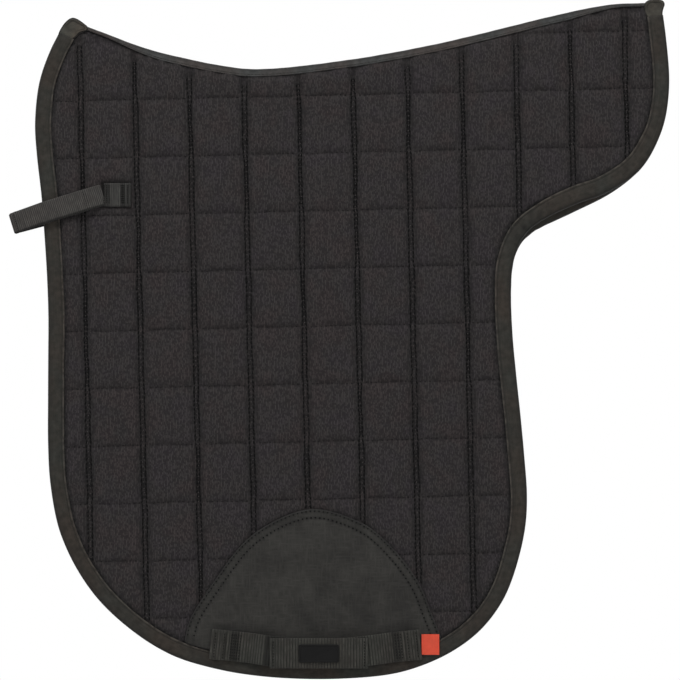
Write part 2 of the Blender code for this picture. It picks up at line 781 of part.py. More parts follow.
def build_closure(side, pivot):
    """The middle length of webbing, which peels open from its rear end."""
    name = side + "_girth_closure"
    start = closure_end(-1)
    underside = [(0.0, CLOSURE_BACK), (CLOSURE_LENGTH, CLOSURE_BACK)]
    mesh = strip_mesh(name, side, start, 0.0, underside, GIRTH_WEB_WIDTH, WEB_THICK)
    add_piece(name, mesh, "webbing", pivot)

    name = side + "_closure_hook_tape"
    centre = closure_end(1) - Vector((STRAP_LAP / 2, 0))
    loop = box_loop(centre, TAB_TAPE_LENGTH, GIRTH_WEB_WIDTH - 2 * TAB_TAPE_MARGIN)
    mesh = plate(name, side, loop, HOOK_TAPE_BACK, HOOK_TAPE_BACK + TAB_TAPE_THICK)
    add_piece(name, mesh, "grip", pivot)

    if side == NEAR:
        name = "near_plain_badge"
        loop = box_loop(closure_centre(), BADGE_LENGTH, BADGE_HEIGHT, corner=BADGE_CORNER)
        mesh = plate(name, side, loop, CLOSURE_FACE + FIT, CLOSURE_FACE + FIT + BADGE_THICK)
        add_piece(name, mesh, "badge", pivot, bevel=FIT)


def build_side_label(pivot):
    """The folded fabric label sewn behind the near loop."""
    name = "near_side_label"
    strap_end = strap_spot(1, REAR_STRAP_SEWN + STRAP_RAMP + STRAP_LAP)
    offset = Vector((LABEL_GAP + LABEL_LENGTH / 2, 0))
    loop = box_loop(strap_end + offset, LABEL_LENGTH, LABEL_HEIGHT)
    mesh = plate(name, NEAR, loop, STRAP_BACK, STRAP_BACK + LABEL_THICK)
    add_piece(name, mesh, "label", pivot)


def build_anchor(side, pivot):
    """The folded end of webbing that is sewn down through the quilting."""
    name = side + "_billet_anchor"
    root = Vector(TONGUE_ROOT)
    half = TONGUE_WIDTH / 2 + ANCHOR_MARGIN
    slant = half * math.tan(TONGUE_TILT)
    loop = [
        root + Vector((FIT + slant, -half)),
        root + Vector((ANCHOR_LENGTH, -half)),
        root + Vector((ANCHOR_LENGTH, half)),
        root + Vector((FIT - slant, half)),
    ]
    mesh = plate(name, side, loop, COVER_FACE + FIT, ANCHOR_FACE)
    add_piece(name, mesh, "webbing", pivot, bevel=WEB_THICK / 3)


def build_tongue(side, pivot):
    """The webbing tongue, with the gripping tapes sewn to its inner face."""
    name = side + "_billet_tongue"
    root = Vector(TONGUE_ROOT)
    heading = math.pi + TONGUE_TILT
    low = ANCHOR_FACE - WEB_THICK
    underside = [
        (0.0, low),
        *rise(FIT, TONGUE_RAMP - FIT, low, TONGUE_BACK),
        (TONGUE_LENGTH, TONGUE_BACK),
    ]
    mesh = strip_mesh(name, side, root, heading, underside, TONGUE_WIDTH, WEB_THICK)
    add_piece(name, mesh, "webbing", pivot)

    away = Vector((math.cos(heading), math.sin(heading)))
    height = TONGUE_WIDTH - 2 * GRIP_MARGIN
    hook_centre = TONGUE_LENGTH - GRIP_MARGIN - GRIP_LENGTH / 2
    loop_centre = TONGUE_RAMP + GRIP_MARGIN + GRIP_LENGTH / 2
    for name, distance in (
        (side + "_tongue_hook_tape", hook_centre),
        (side + "_tongue_loop_tape", loop_centre),
    ):
        loop = box_loop(root + away * distance, GRIP_LENGTH, height, heading)
        mesh = plate(name, side, loop, GRIP_BACK, GRIP_BACK + GRIP_THICK)
        add_piece(name, mesh, "grip", pivot)


clear_scene()
pad = make_collection("icelandic saddle pad")
cutters = make_collection("cutters")
materials = {name: make_material(name) for name in MATERIALS}

build_spine(add_pivot("spine_pivot", Vector((0, 0, 0))))
for side in (NEAR, OFF):
    half_pivot = add_pivot(side + "_fold_pivot", FOLD_FRONT)
    build_panel(side, half_pivot)
    build_girth_side(side, half_pivot)
    build_anchor(side, half_pivot)
    hinge = outward(side, closure_end(-1).x, CLOSURE_FACE, closure_end(-1).y)
    build_closure(side, add_pivot(side + "_closure_pivot", hinge))
    hinge = outward(side, TONGUE_ROOT[0], ANCHOR_FACE, TONGUE_ROOT[1])
    build_tongue(side, add_pivot(side + "_tongue_pivot", hinge))
    if side == NEAR:
        build_side_label(half_pivot)
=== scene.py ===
"""The looks of an Icelandic saddle pad: quilted knit cloth, woven bindings and ribbed webbing.

Lengths are in metres. X runs to the rear of the pad and Z up. Both halves hang from the spine, the
near half on the -Y side, and a layer's level is its distance from the fold between them.
"""

import math

import bmesh
import bpy
import numpy as np
from mathutils import Matrix, Vector
from mathutils.kdtree import KDTree


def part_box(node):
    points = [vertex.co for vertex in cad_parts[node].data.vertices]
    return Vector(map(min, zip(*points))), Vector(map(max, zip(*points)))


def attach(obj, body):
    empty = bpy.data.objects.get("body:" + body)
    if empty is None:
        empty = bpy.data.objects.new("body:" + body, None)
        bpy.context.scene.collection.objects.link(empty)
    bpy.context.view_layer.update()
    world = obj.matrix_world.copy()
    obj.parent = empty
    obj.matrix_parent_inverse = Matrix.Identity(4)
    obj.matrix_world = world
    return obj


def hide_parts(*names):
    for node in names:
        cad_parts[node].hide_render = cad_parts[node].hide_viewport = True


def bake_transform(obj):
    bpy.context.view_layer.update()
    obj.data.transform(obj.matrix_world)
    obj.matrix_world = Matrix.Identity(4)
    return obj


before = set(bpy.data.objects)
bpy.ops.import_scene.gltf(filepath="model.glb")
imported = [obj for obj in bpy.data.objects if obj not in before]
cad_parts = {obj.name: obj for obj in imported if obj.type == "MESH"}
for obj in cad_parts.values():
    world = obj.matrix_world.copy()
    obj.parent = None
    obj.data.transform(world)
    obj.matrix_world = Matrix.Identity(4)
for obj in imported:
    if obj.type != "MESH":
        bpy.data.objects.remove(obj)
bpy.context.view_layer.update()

MM = 0.001

# Camera
# The pad hangs square to the camera, which looks along +Y at its middle. A long lens keeps the
# webbing, which stands proud of the cloth, in line with the quilting behind it.
VIEW_MIDDLE = (78.3 * MM, -243.9 * MM)
VIEW_WIDTH = 612.0 * MM
EDGE_PLANE = -5.3 * MM
SENSOR = 36.0
LENS = 150.0


def put(name, data):
    """An object of the scene that shows the data."""
    made = bpy.data.objects.new(name, data)
    bpy.context.scene.collection.objects.link(made)
    return made


camera = put("camera", bpy.data.cameras.new("camera"))
camera.data.sensor_width = SENSOR
camera.data.lens = LENS
camera.location = (VIEW_MIDDLE[0], EDGE_PLANE - VIEW_WIDTH * LENS / SENSOR, VIEW_MIDDLE[1])
camera.rotation_euler = (math.pi / 2, 0, 0)
bpy.context.scene.camera = camera
bpy.context.scene.view_settings.view_transform = "Standard"


# Light and floor
# Soft studio light: a large panel high on the left, two weaker ones to the right and behind, and a
# white room. The floor is pale, keeps the pad's shadow and fades to the white of the room.
ROOM_LIGHT = 0.24
FLOOR_DROP = 0.75
FLOOR_REACH = 12.0
FADE_START = 0.35
FADE_END = 1.5
WHITE = (1, 1, 1, 1)


def panel_light(name, place, size, power):
    """A square lamp that faces the pad's middle."""
    lamp = put(name, bpy.data.lights.new(name, "AREA"))
    lamp.data.size = size
    lamp.data.energy = power
    lamp.location = place
    away = Vector(place) - Vector((VIEW_MIDDLE[0], 0.0, VIEW_MIDDLE[1]))
    lamp.rotation_euler = away.to_track_quat("Z", "Y").to_euler()


def blank(made):
    """The node tree of a new world or material, with nothing in it."""
    made.use_nodes = True
    made.node_tree.nodes.clear()
    return made.node_tree


def add(tree, kind, inputs=None, **settings):
    """A shader node with its settings. An input is a value, or the socket or node that feeds it."""
    made = tree.nodes.new("ShaderNode" + kind)
    for name, value in settings.items():
        setattr(made, name, value)
    for socket, value in (inputs or {}).items():
        if isinstance(value, bpy.types.Node):
            value = value.outputs[0]
        if isinstance(value, bpy.types.NodeSocket):
            tree.links.new(value, made.inputs[socket])
        else:
            made.inputs[socket].default_value = value
    return made


def new_finish(name):
    """A new material, its node tree, and the places on the pad that its patterns are drawn by."""
    made = bpy.data.materials.new(name)
    tree = blank(made)
    return made, tree, add(tree, "TexCoord").outputs["Object"]


def calc(tree, operation, *values, **settings):
    """One step of arithmetic on one or two values."""
    return add(tree, "Math", dict(enumerate(values)), operation=operation, **settings)


def spread(tree, value, low, high, start=0.0, end=1.0, **settings):
    """A value's range from low to high, spread out from start to end."""
    ranges = {"From Min": low, "From Max": high, "To Min": start, "To Max": end}
    return add(tree, "MapRange", {"Value": value, **ranges}, **settings)


def any_ray(tree, *kinds):
    """1 for a ray of any of these kinds, and 0 for others."""
    rays = add(tree, "LightPath").outputs
    found = rays[kinds[0]]
    for kind in kinds[1:]:
        found = calc(tree, "MAXIMUM", found, rays[kind])
    return found


def mesh_of(bm):
    """A mesh of a finished bmesh. It takes its name from its piece later."""
    mesh = bpy.data.meshes.new("shape")
    bm.to_mesh(mesh)
    bm.free()
    return mesh


panel_light("key light", (-0.5, -1.3, 2.0), 1.1, 50)
panel_light("fill light", (1.8, -1.9, 0.4), 1.6, 13)
panel_light("back light", (-0.6, 2.4, 1.2), 1.6, 40)

bpy.context.scene.world = bpy.data.worlds.new("white room")
tree = blank(bpy.context.scene.world)
seen = any_ray(tree, "Is Camera Ray", "Is Glossy Ray", "Is Transmission Ray")
glow = add(tree, "Background", {"Color": WHITE, "Strength": ROOM_LIGHT})
white = add(tree, "Background", {"Color": WHITE, "Strength": 1.0})
room = add(tree, "MixShader", {0: seen, 1: glow, 2: white})
add(tree, "OutputWorld", {"Surface": room})

bm = bmesh.new()
bmesh.ops.create_grid(bm, x_segments=1, y_segments=1, size=FLOOR_REACH)
bmesh.ops.translate(bm, verts=bm.verts, vec=(0, 0, -FLOOR_DROP))
floor = put("floor", mesh_of(bm))

paint, tree, place = new_finish("pale floor")
flat = add(tree, "VectorMath", {0: place, 1: (1.0, 1.0, 0.0)}, operation="MULTIPLY")
far = add(tree, "VectorMath", {0: flat}, operation="LENGTH").outputs["Value"]
fade = spread(tree, far, FADE_START, FADE_END, interpolation_type="SMOOTHSTEP")
shown = calc(tree, "MULTIPLY", any_ray(tree, "Is Camera Ray", "Is Glossy Ray"), fade)
matt = add(tree, "BsdfDiffuse", {"Color": (0.86, 0.86, 0.86, 1)})
glow = add(tree, "Emission", {"Color": WHITE, "Strength": 1.0})
faded = add(tree, "MixShader", {0: shown, 1: matt, 2: glow})
add(tree, "OutputMaterial", {"Surface": faded})
floor.data.materials.append(paint)


# The lines that the pieces follow
# Each half's bound edge, the spine's top and the patch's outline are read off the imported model:
# a line there is the chain of edges at one level, drawn smooth again through its points.
EDGE_STEP = 2.5 * MM
INNER_LEVEL = 0.5 * MM
TAPE_LEVEL = 10.1 * MM
NEAR_ENOUGH = 0.05 * MM
SIDES = {"near": -1.0, "off": 1.0}


def chain_at(node, y, reaching=None):
    """The (x, z) points of a node's edges at one y, on faces that reach another where one is given."""
    bm = bmesh.new()
    bm.from_mesh(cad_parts[node].data)
    bmesh.ops.remove_doubles(bm, verts=bm.verts, dist=0.01 * MM)

    def at(verts, y):
        return [abs(vert.co.y - y) < NEAR_ENOUGH for vert in verts]

    links = {}
    for edge in bm.edges:
        corners = [vert for face in edge.link_faces for vert in face.verts]
        if all(at(edge.verts, y)) and (reaching is None or any(at(corners, reaching))):
            first, second = edge.verts
            links.setdefault(first, []).append(second)
            links.setdefault(second, []).append(first)
    ends = [vert for vert, joined in links.items() if len(joined) == 1]
    chain = [min(ends or links, key=lambda vert: vert.co.x)]
    ahead = links[chain[0]]
    while ahead:
        chain.append(ahead[0])
        ahead = [vert for vert in links[ahead[0]] if vert not in chain]
    points = np.array([(vert.co.x, vert.co.z) for vert in chain])
    bm.free()
    return points


def measured(points):
    """How far along a line each of its points lies."""
    return np.concatenate([[0.0], np.cumsum(np.linalg.norm(np.diff(points, axis=0), axis=1))])


def places_at(distances, points):
    """The (x, z) places at some distances along a line."""
    along = measured(points)
    return np.column_stack([np.interp(distances, along, points[:, k]) for k in range(2)])


def smoothed(points):
    """A smooth line through the points, with a point about every step."""
    gaps = np.linalg.norm(np.diff(points, axis=0), axis=1)
    time = np.concatenate([[0.0], np.cumsum(np.sqrt(gaps))])
    slope = np.gradient(points, time, axis=0)
    t = np.linspace(0, 1, 16, endpoint=False)[:, None]
    fine = []
    for k, span in enumerate(np.diff(time)):
        fine.append(
            (2 * t**3 - 3 * t**2 + 1) * points[k]
            + (t**3 - 2 * t**2 + t) * span * slope[k]
            + (3 * t**2 - 2 * t**3) * points[k + 1]
            + (t**3 - t**2) * span * slope[k + 1]
        )
    fine = np.vstack([*fine, points[-1:]])
    length = measured(fine)[-1]
    return places_at(np.linspace(0, length, max(2, round(length / EDGE_STEP) + 1)), fine)


def left_of(line):
    """The direction to the left of a line at each of its points."""
    along = np.gradient(line, axis=0)
    along /= np.linalg.norm(along, axis=1)[:, None]
    return np.column_stack([-along[:, 1], along[:, 0]])


def reach(points, line, closed=False):
    """How far each point lies to the left of a line, and the nearest place on it."""
    tree = KDTree(len(line))
    for index, spot in enumerate(line):
        tree.insert((*spot, 0.0), index)
    tree.balance()
    nearest = np.array([tree.find((*spot, 0.0))[1] for spot in points])
    count = len(line)
    best = np.full(len(points), np.inf)
    signed = np.zeros(len(points))
    foot = np.zeros((len(points), 2))
    for shift in (-1, 0):
        start = (nearest + shift) % count if closed else np.clip(nearest + shift, 0, count - 2)
        a = line[start]
        along = line[(start + 1) % count] - a
        share = np.clip(((points - a) * along).sum(1) / (along**2).sum(1), 0, 1)
        spot = a + share[:, None] * along
        away = points - spot
        gap = np.linalg.norm(away, axis=1)
        side = np.sign(along[:, 0] * away[:, 1] - along[:, 1] * away[:, 0])
        closer = gap < best
        best[closer] = gap[closer]
        signed[closer] = (gap * side)[closer]
        foot[closer] = spot[closer]
    return signed, foot


edge_lines = {
    side: smoothed(chain_at(side + "_edge_binding", way * TAPE_LEVEL, way * INNER_LEVEL))
    for side, way in SIDES.items()
}
top_line = smoothed(chain_at("spine_strip", -TAPE_LEVEL, TAPE_LEVEL)[::-1])
outlines = {side: np.vstack([edge_lines[side], top_line]) for side in SIDES}


# The quilted cloth
# A knitted cloth is laid over foam and sewn down the pad in channels of two seams each, and across
# it in single rows. It is made once as a flat length, puffed between its seams, and cut later.
CHANNEL_PITCH = 49.0 * MM
ROW_PITCH = 51.8 * MM
QUILT_CROSSING = np.array((-5.4 * MM, -129.2 * MM))
QUILT_TILT = math.radians(1.3)
FIRST_COLUMN, LAST_COLUMN = -4, 8
FIRST_ROW, LAST_ROW = -9, 4
CHANNEL_FLOOR = 0.5 * MM
ROW_HEIGHT = 1.4 * MM
ROW_RISES = (2.0 * MM, 9.0 * MM)
CROWN = 3.0 * MM
CROWN_CAP = 3.3 * MM
BESIDE_CHANNEL = np.array((0.0, 2.2, 4.0, 6.5, 11.0, 17.5)) * MM
BESIDE_ROW = np.array((0.0, 2.4, 6.0, 12.0, 19.0)) * MM
CHANNEL_SLOPE = (1.8 * MM, 14.0 * MM)
ROW_SLOPE = (0.0, 15.0 * MM)
CHANNEL_SEWN = 2.5 * MM
ROW_SEWN = 0.5 * MM
PUFF_FRAMES = 16
START_PUFF = 0.35
FULL_PERCENTILE = 92
ROUNDNESS = 2.2
STRETCH = {
    "quality": 4,
    "mass": 0.15,
    "tension_stiffness": 6,
    "compression_stiffness": 6,
    "shear_stiffness": 3,
    "bending_stiffness": 0.05,
    "use_pressure": True,
    "uniform_pressure_force": 4,
    "vertex_group_mass": "sewn",
}


def ripple(place, seed):
    """A slow irregular wave between about -1 and 1 along a length."""
    turn = place / MM
    waves = ((0.5, 0.071, 2.17), (0.3, 0.173, 4.31), (0.2, 0.419, 7.13))
    return sum(size * np.sin(turn * pace + seed * shift) for size, pace, shift in waves)


def threads(beside, pitch, first, last):
    """Where the threads of the flat length lie, closer together beside each seam."""
    one = np.concatenate([beside, [pitch / 2], pitch - beside[:0:-1]])
    return np.concatenate([*(k * pitch + one for k in range(first, last)), [last * pitch]])


def ramp(value, low, high):
    """A smooth rise from 0 at low to 1 at high."""
    share = np.clip((value - low) / (high - low), 0, 1)
    return share * share * (3 - 2 * share)


def seam_height(u, v):
    """The height that the seams hold the cloth at, and how far each place is from them."""
    du = np.abs(u - np.round(u / CHANNEL_PITCH) * CHANNEL_PITCH)
    dv = np.abs(v - np.round(v / ROW_PITCH) * ROW_PITCH)
    return CHANNEL_FLOOR + (ROW_HEIGHT - CHANNEL_FLOOR) * ramp(du, *ROW_RISES), du, dv


def points_of(mesh):
    """The places of a mesh's points."""
    places = np.zeros(len(mesh.vertices) * 3)
    mesh.vertices.foreach_get("co", places)
    return places.reshape(-1, 3)


columns = threads(BESIDE_CHANNEL, CHANNEL_PITCH, FIRST_COLUMN, LAST_COLUMN)
rows = threads(BESIDE_ROW, ROW_PITCH, FIRST_ROW, LAST_ROW)
bm = bmesh.new()
bmesh.ops.create_grid(bm, x_segments=len(columns) - 1, y_segments=len(rows) - 1, size=1.0)
cloth_mesh = mesh_of(bm)
u, v = (grid.ravel() for grid in np.meshgrid(columns, rows))
row_height, du, dv = seam_height(u, v)
puffed = (1 - (1 - ramp(du, *CHANNEL_SLOPE)) ** 2) * (1 - (1 - ramp(dv, *ROW_SLOPE)) ** 2)
height = row_height + (CROWN - row_height) * puffed

start = row_height + START_PUFF * (height - row_height)
cloth_mesh.vertices.foreach_set("co", np.column_stack([u, v, start]).ravel())
cloth = put("flat length", cloth_mesh)
sewn = np.flatnonzero((du < CHANNEL_SEWN) | (dv < ROW_SEWN))
cloth.vertex_groups.new(name="sewn").add(sewn.tolist(), 1.0, "ADD")
puff = cloth.modifiers.new("puff", "CLOTH")
for setting, value in STRETCH.items():
    setattr(puff.settings, setting, value)
puff.settings.effector_weights.gravity = 0
puff.collision_settings.use_collision = False
puff.point_cache.frame_start = 1
puff.point_cache.frame_end = PUFF_FRAMES
for moment in range(1, PUFF_FRAMES + 1):
    bpy.context.scene.frame_set(moment)
swollen = points_of(cloth.evaluated_get(bpy.context.evaluated_depsgraph_get()).data)
rise = swollen[:, 2] - row_height
share = rise / np.percentile(rise, FULL_PERCENTILE)
height = row_height + (CROWN - row_height) * (1 - np.clip(1 - share, 0, 1) ** ROUNDNESS)
height += np.clip(share - 0.9, 0, 1) * (CROWN_CAP - CROWN)
bpy.data.objects.remove(cloth, do_unlink=True)
bpy.context.scene.frame_set(1)

cloth_mesh.vertices.foreach_set("co", np.column_stack([u, v, height]).ravel())
cloth = put("flat length", cloth_mesh)
finer = cloth.modifiers.new("finer", "SUBSURF")
finer.levels = finer.render_levels = 1
bpy.context.view_layer.update()
seen = cloth.evaluated_get(bpy.context.evaluated_depsgraph_get())
yardage = bpy.data.meshes.new_from_object(seen)
bpy.data.objects.remove(cloth, do_unlink=True)
yard = points_of(yardage)


def on_pad(spots):
    """Places on the pad, (x, z), of places on the flat length, (u, v)."""
    c, s = math.cos(QUILT_TILT), math.sin(QUILT_TILT)
    return QUILT_CROSSING + spots @ np.array(((c, s), (-s, c)))


yard_spots = on_pad(yard[:, :2])


# The quilted covers
# The outer cloth of each half, cut to its outline. It is pressed flat under the binding, the spine
# strip, the girth patch and the tongue's anchor, and swells between them.
COVER_BACK = 7.6 * MM
COVER_FACE = 8.6 * MM
BINDING_WIDTH = 15.0 * MM
STRIP_WIDTH = 7.0 * MM
EDGE_SETBACK = 1.5 * MM
HEM_MARGIN = 0.4 * MM
SHARP_TURN = math.radians(38)
SWELL_WIDTHS = (7.0 * MM, 5.0 * MM, 5.0 * MM, 5.0 * MM)
SWELL_START = 0.1 * MM
SWELL_POWER = 2.5
# Painted shadow beside what is sewn over the cloth, (width, darkness) for each
TUCKED_SHADES = ((4.4 * MM, 0.95), (1.6 * MM, 0.45), (2.2 * MM, 0.3), (1.6 * MM, 0.5))
OPEN_GAP = 2.3 * MM
PINCHED_GAP = 1.35 * MM
PINCHED_SHARE = 0.42
PINCHED_PER_ROW = 0.035
GAP_EASE = 0.16
GAP_VARIES = 0.08
CHANNEL_SWAY = 0.55 * MM
ROW_SWAY = 0.7 * MM
CHANNEL_DIP, CHANNEL_DIP_WIDTH = 0.9 * MM, 0.75 * MM
CHANNEL_BEAD, BEAD_SHARE = 0.5 * MM, 0.6
ROW_DIP, ROW_DIP_WIDTH = 0.7 * MM, 0.9 * MM
ROW_DEEPENS = (2.5 * MM, 5.0 * MM)
DEEPEST = -0.3 * MM
# Darkness painted at the seams, most of it painted shade in the channels and by the rows
LINE_DARK, LINE_WIDTH = 1.02, 1.3 * MM
BAND_DARK, BAND_EDGE = 0.76, (0.3 * MM, 1.9 * MM)
BESIDE_DARK, BESIDE_EDGE = 0.36, (2.2 * MM, 5.4 * MM)
UNDER_ROW_WIDTH = 1.9 * MM
ABOVE_ROW_SHADE, ABOVE_ROW_EDGE = 0.12, (0.0, 9.0 * MM)
CROSSING_WIDTH = 4.0 * MM
KNIT_RIB = 1.35 * MM
KNIT_TINTS = (
    (0.36, (1.055, 0.99, 0.965, 1)),
    (0.5, (0.985, 1.012, 0.985, 1)),
    (0.64, (0.995, 0.985, 1.035, 1)),
)
STAND = {
    side: Matrix(((1, 0, 0, 0), (0, 0, way, 0), (0, 1, 0, 0), (0, 0, 0, 1)))
    for side, way in SIDES.items()
}


def tone(red, green, blue):
    """A linear colour from display values of 0 to 255."""
    shares = [value / 255 for value in (red, green, blue)]
    return (*(s / 12.92 if s <= 0.04045 else ((s + 0.055) / 1.055) ** 2.4 for s in shares), 1.0)


def noise(tree, place, scale, detail=2.0, **inputs):
    return add(tree, "TexNoise", {"Vector": place, "Scale": scale, "Detail": detail, **inputs})


def along_axis(tree, place, axis):
    return add(tree, "SeparateXYZ", {0: place}).outputs[axis]


def wave(tree, distance, pitch):
    """A wave between -1 and 1 that repeats at a pitch."""
    return calc(tree, "SINE", calc(tree, "MULTIPLY", distance, 2 * math.pi / pitch))


def fibres(tree, place, grain, detail=2.0):
    """Noise that is drawn out one way, as fibres are."""
    return noise(tree, add(tree, "Mapping", {"Vector": place, "Scale": grain}), 1.0, detail)


def mixed(tree, share, first, second, **settings):
    """A mix of two colours."""
    return add(tree, "MixRGB", {"Fac": share, "Color1": first, "Color2": second}, **settings)


def ramped(tree, value, stops):
    """A colour for a value, between (place, colour) stops."""
    made = add(tree, "ValToRGB", {"Fac": value})
    elements = made.color_ramp.elements
    for k, (place, colour) in enumerate(stops):
        stop = elements[k] if k < 2 else elements.new(place)
        stop.position = place
        stop.color = colour
    return made


def seam_and_shade_mark(tree):
    """The dark that a mesh keeps at each point: its dark seams, and painted shade."""
    return add(tree, "Attribute", attribute_name="seam").outputs["Fac"]


def finished(made, colour, roughness, specular, bump, sheen=0.0):
    """A material with its colour, its shine, and a bump's (strength, depth, height)."""
    tree = made.node_tree
    relief = add(tree, "Bump", dict(zip(("Strength", "Distance", "Height"), bump)))
    surface = {
        "Base Color": colour,
        "Roughness": roughness,
        "Specular IOR Level": specular,
        "Sheen Weight": sheen,
        "Sheen Roughness": 0.5,
        "Normal": relief,
    }
    add(tree, "OutputMaterial", {"Surface": add(tree, "BsdfPrincipled", surface)})
    return made


def knit(name, yarn, gap):
    """Knitted cloth: fine broken ribs down the pad, faintly mottled brown, green and violet."""
    made, tree, place = new_finish(name)
    turned = add(tree, "Mapping", {"Vector": place, "Rotation": (0, QUILT_TILT, 0)})
    sway = calc(tree, "MULTIPLY", noise(tree, turned, 130.0), 0.9 * MM)
    ribs = wave(tree, calc(tree, "ADD", along_axis(tree, turned, "X"), sway), KNIT_RIB)
    dashes = spread(tree, fibres(tree, turned, (780.0, 60.0, 420.0), 1.0), 0.42, 0.58)
    yarns = calc(tree, "MULTIPLY", spread(tree, ribs, -1.0, 1.0), dashes)
    tint = ramped(tree, noise(tree, turned, 42.0, 3.0), KNIT_TINTS)
    tinted = mixed(tree, 1.0, mixed(tree, yarns, gap, yarn), tint, blend_type="MULTIPLY")
    broken = spread(tree, noise(tree, turned, 330.0), 0.35, 0.65, 0.4, 1.45)
    # The mark paints the cloth towards near black: its seams' own dark, and painted shade in hollows, on
    # slopes and beside what lies over it
    seam = calc(tree, "MULTIPLY", seam_and_shade_mark(tree), broken, use_clamp=True)
    colour = mixed(tree, seam, tinted, tone(12, 11, 11))
    relief = calc(tree, "ADD", yarns, noise(tree, turned, 900.0))
    return finished(made, colour, 0.92, 0.18, (0.3, 0.25 * MM, relief), sheen=0.12)


def add_piece(name, mesh, material, body=None, node=None):
    """A piece of the pad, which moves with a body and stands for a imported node."""
    piece = put(name, mesh)
    mesh.name = name
    mesh.materials.append(material)
    mesh.shade_smooth()
    if node:
        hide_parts(node)
    if body:
        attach(piece, body)
    return piece


def mound(value, width):
    """1 at 0, and less on both sides, to nearly nothing at twice the width."""
    return np.exp(-((value / width) ** 2))


def channel_gap(column, v):
    """Half the space between a channel's two seams, which are drawn together in some squares."""
    square = np.floor(v / ROW_PITCH)
    share = v / ROW_PITCH - square

    def pull(row):
        chance = (np.sin(column * 12.9 + row * 78.2) * 43.7) % 1.0
        return (chance < PINCHED_SHARE + PINCHED_PER_ROW * row).astype(float)

    here, below, above = pull(square), pull(square - 1), pull(square + 1)
    shut = here + (below - here) / 2 * (1 - ramp(share, 0.0, GAP_EASE))
    shut = shut + (above - here) / 2 * ramp(share, 1 - GAP_EASE, 1.0)
    gap = OPEN_GAP + (PINCHED_GAP - OPEN_GAP) * shut
    return gap * (1 + GAP_VARIES * ripple(v, column))


def channel_sway(column, v):
    return CHANNEL_SWAY * ripple(v, column + 3.0)


def row_sway(row, u):
    return ROW_SWAY * ripple(u, row + 11.0)


def clearances(spots, side):
    """How far each place lies from the binding, the strip, the patch and the tongue's anchor."""
    edge = np.abs(reach(spots, edge_lines[side])[0]) - BINDING_WIDTH
    top = np.abs(reach(spots, top_line)[0]) - STRIP_WIDTH
    bell = -reach(spots, patch_lines[side], closed=True)[0]
    low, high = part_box(side + "_billet_anchor")
    beside = np.maximum(low.x - spots[:, 0], spots[:, 0] - high.x)
    above = np.maximum(low.z - spots[:, 1], spots[:, 1] - high.z)
    return edge, top, bell, np.maximum(beside, above)


def pressed(clear):
    """How far the cloth may swell at each place: nothing under what is sewn over it, 1 in the open."""
    free = 1.0
    for away, width in zip(clear, SWELL_WIDTHS):
        share = np.clip((away - SWELL_START) / width, 0, 1)
        free = free * (1 - (1 - share) ** SWELL_POWER)
    return free


def corner_split(loop):
    """A closed line cut at its sharp corners into runs, and drawn smooth between them."""
    ahead = np.roll(loop, -1, axis=0) - loop
    before = loop - np.roll(loop, 1, axis=0)
    turned = before[:, 0] * ahead[:, 1] - before[:, 1] * ahead[:, 0]
    turn = np.abs(np.arctan2(turned, (before * ahead).sum(1)))
    corners = np.flatnonzero(turn > SHARP_TURN)
    loop = np.roll(loop, -corners[0], axis=0)
    cuts = [*(corners - corners[0]), len(loop)]
    loop = np.vstack([loop, loop[:1]])
    return np.vstack([smoothed(loop[a : b + 1])[:-1] for a, b in zip(cuts, cuts[1:])])


patch_lines = {}
for side, way in SIDES.items():
    node = side + "_girth_patch"
    heights = [abs(vert.co.y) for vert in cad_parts[node].data.vertices]
    halfway = (min(heights) + max(heights)) / 2
    loop = chain_at(node, way * max(height for height in heights if height < halfway))
    area = (loop[:, 0] * np.roll(loop[:, 1], -1) - loop[:, 1] * np.roll(loop[:, 0], -1)).sum()
    patch_lines[side] = corner_split(loop if area > 0 else loop[::-1])


def shaped(bm, side=None):
    """A mesh of a closed bmesh, its faces outwards. One of a half is drawn flat and stood up here."""
    if side:
        bmesh.ops.transform(bm, matrix=STAND[side], verts=bm.verts)
    bmesh.ops.recalc_face_normals(bm, faces=bm.faces)
    if side:
        # Closing a flat cloth lists its new faces in another order on each run
        bm.verts.index_update()
        count = len(bm.verts)
        bm.faces.sort(key=lambda face: face.verts[0].index * count + face.verts[1].index)
    return mesh_of(bm)


def boundary(bm):
    return [edge for edge in bm.edges if edge.is_boundary]


def of_kind(geom, kind):
    return [item for item in geom if isinstance(item, kind)]


def close_behind(bm, back):
    """Turns the rim of a cloth down to its back, and closes that."""
    turned = bmesh.ops.extrude_edge_only(bm, edges=boundary(bm))["geom"]
    for vert in of_kind(turned, bmesh.types.BMVert):
        vert.co.z = back
    bmesh.ops.edgeloop_fill(bm, edges=boundary(bm))


def cut_cloth(side, levels, back):
    """The flat length cut to a half's outline, raised to the given levels and closed behind."""
    outline = outlines[side]
    kept = reach(yard_spots, outline, closed=True)[0] > EDGE_SETBACK + HEM_MARGIN
    bm = bmesh.new()
    bm.from_mesh(yardage)
    for vert, spot, level in zip(bm.verts, yard_spots, levels):
        vert.co = (*spot, level)
    loose = [vert for vert, keep in zip(bm.verts, kept) if not keep]
    while loose:
        bmesh.ops.delete(bm, geom=loose, context="VERTS")
        loose = [
            vert
            for vert in bm.verts
            if not vert.link_faces or sum(edge.is_boundary for edge in vert.link_edges) > 2
        ]
    hem = list({vert for edge in boundary(bm) for vert in edge.verts})
    flat = np.array([vert.co.xy for vert in hem])
    gap, foot = reach(flat, outline, closed=True)
    for vert, spot in zip(hem, foot + (flat - foot) / gap[:, None] * EDGE_SETBACK):
        vert.co.xy = spot
    close_behind(bm, back)
    return shaped(bm, side)


quilt_knit = knit("charcoal knit", tone(61, 57, 57), tone(35, 32, 33))
u, v, height = yard.T
column = np.round(u / CHANNEL_PITCH)
row = np.round(v / ROW_PITCH)
du = u - column * CHANNEL_PITCH - channel_sway(column, v)
dv = v - row * ROW_PITCH - row_sway(row, u)
away = np.abs(du)
gap = channel_gap(column, v)

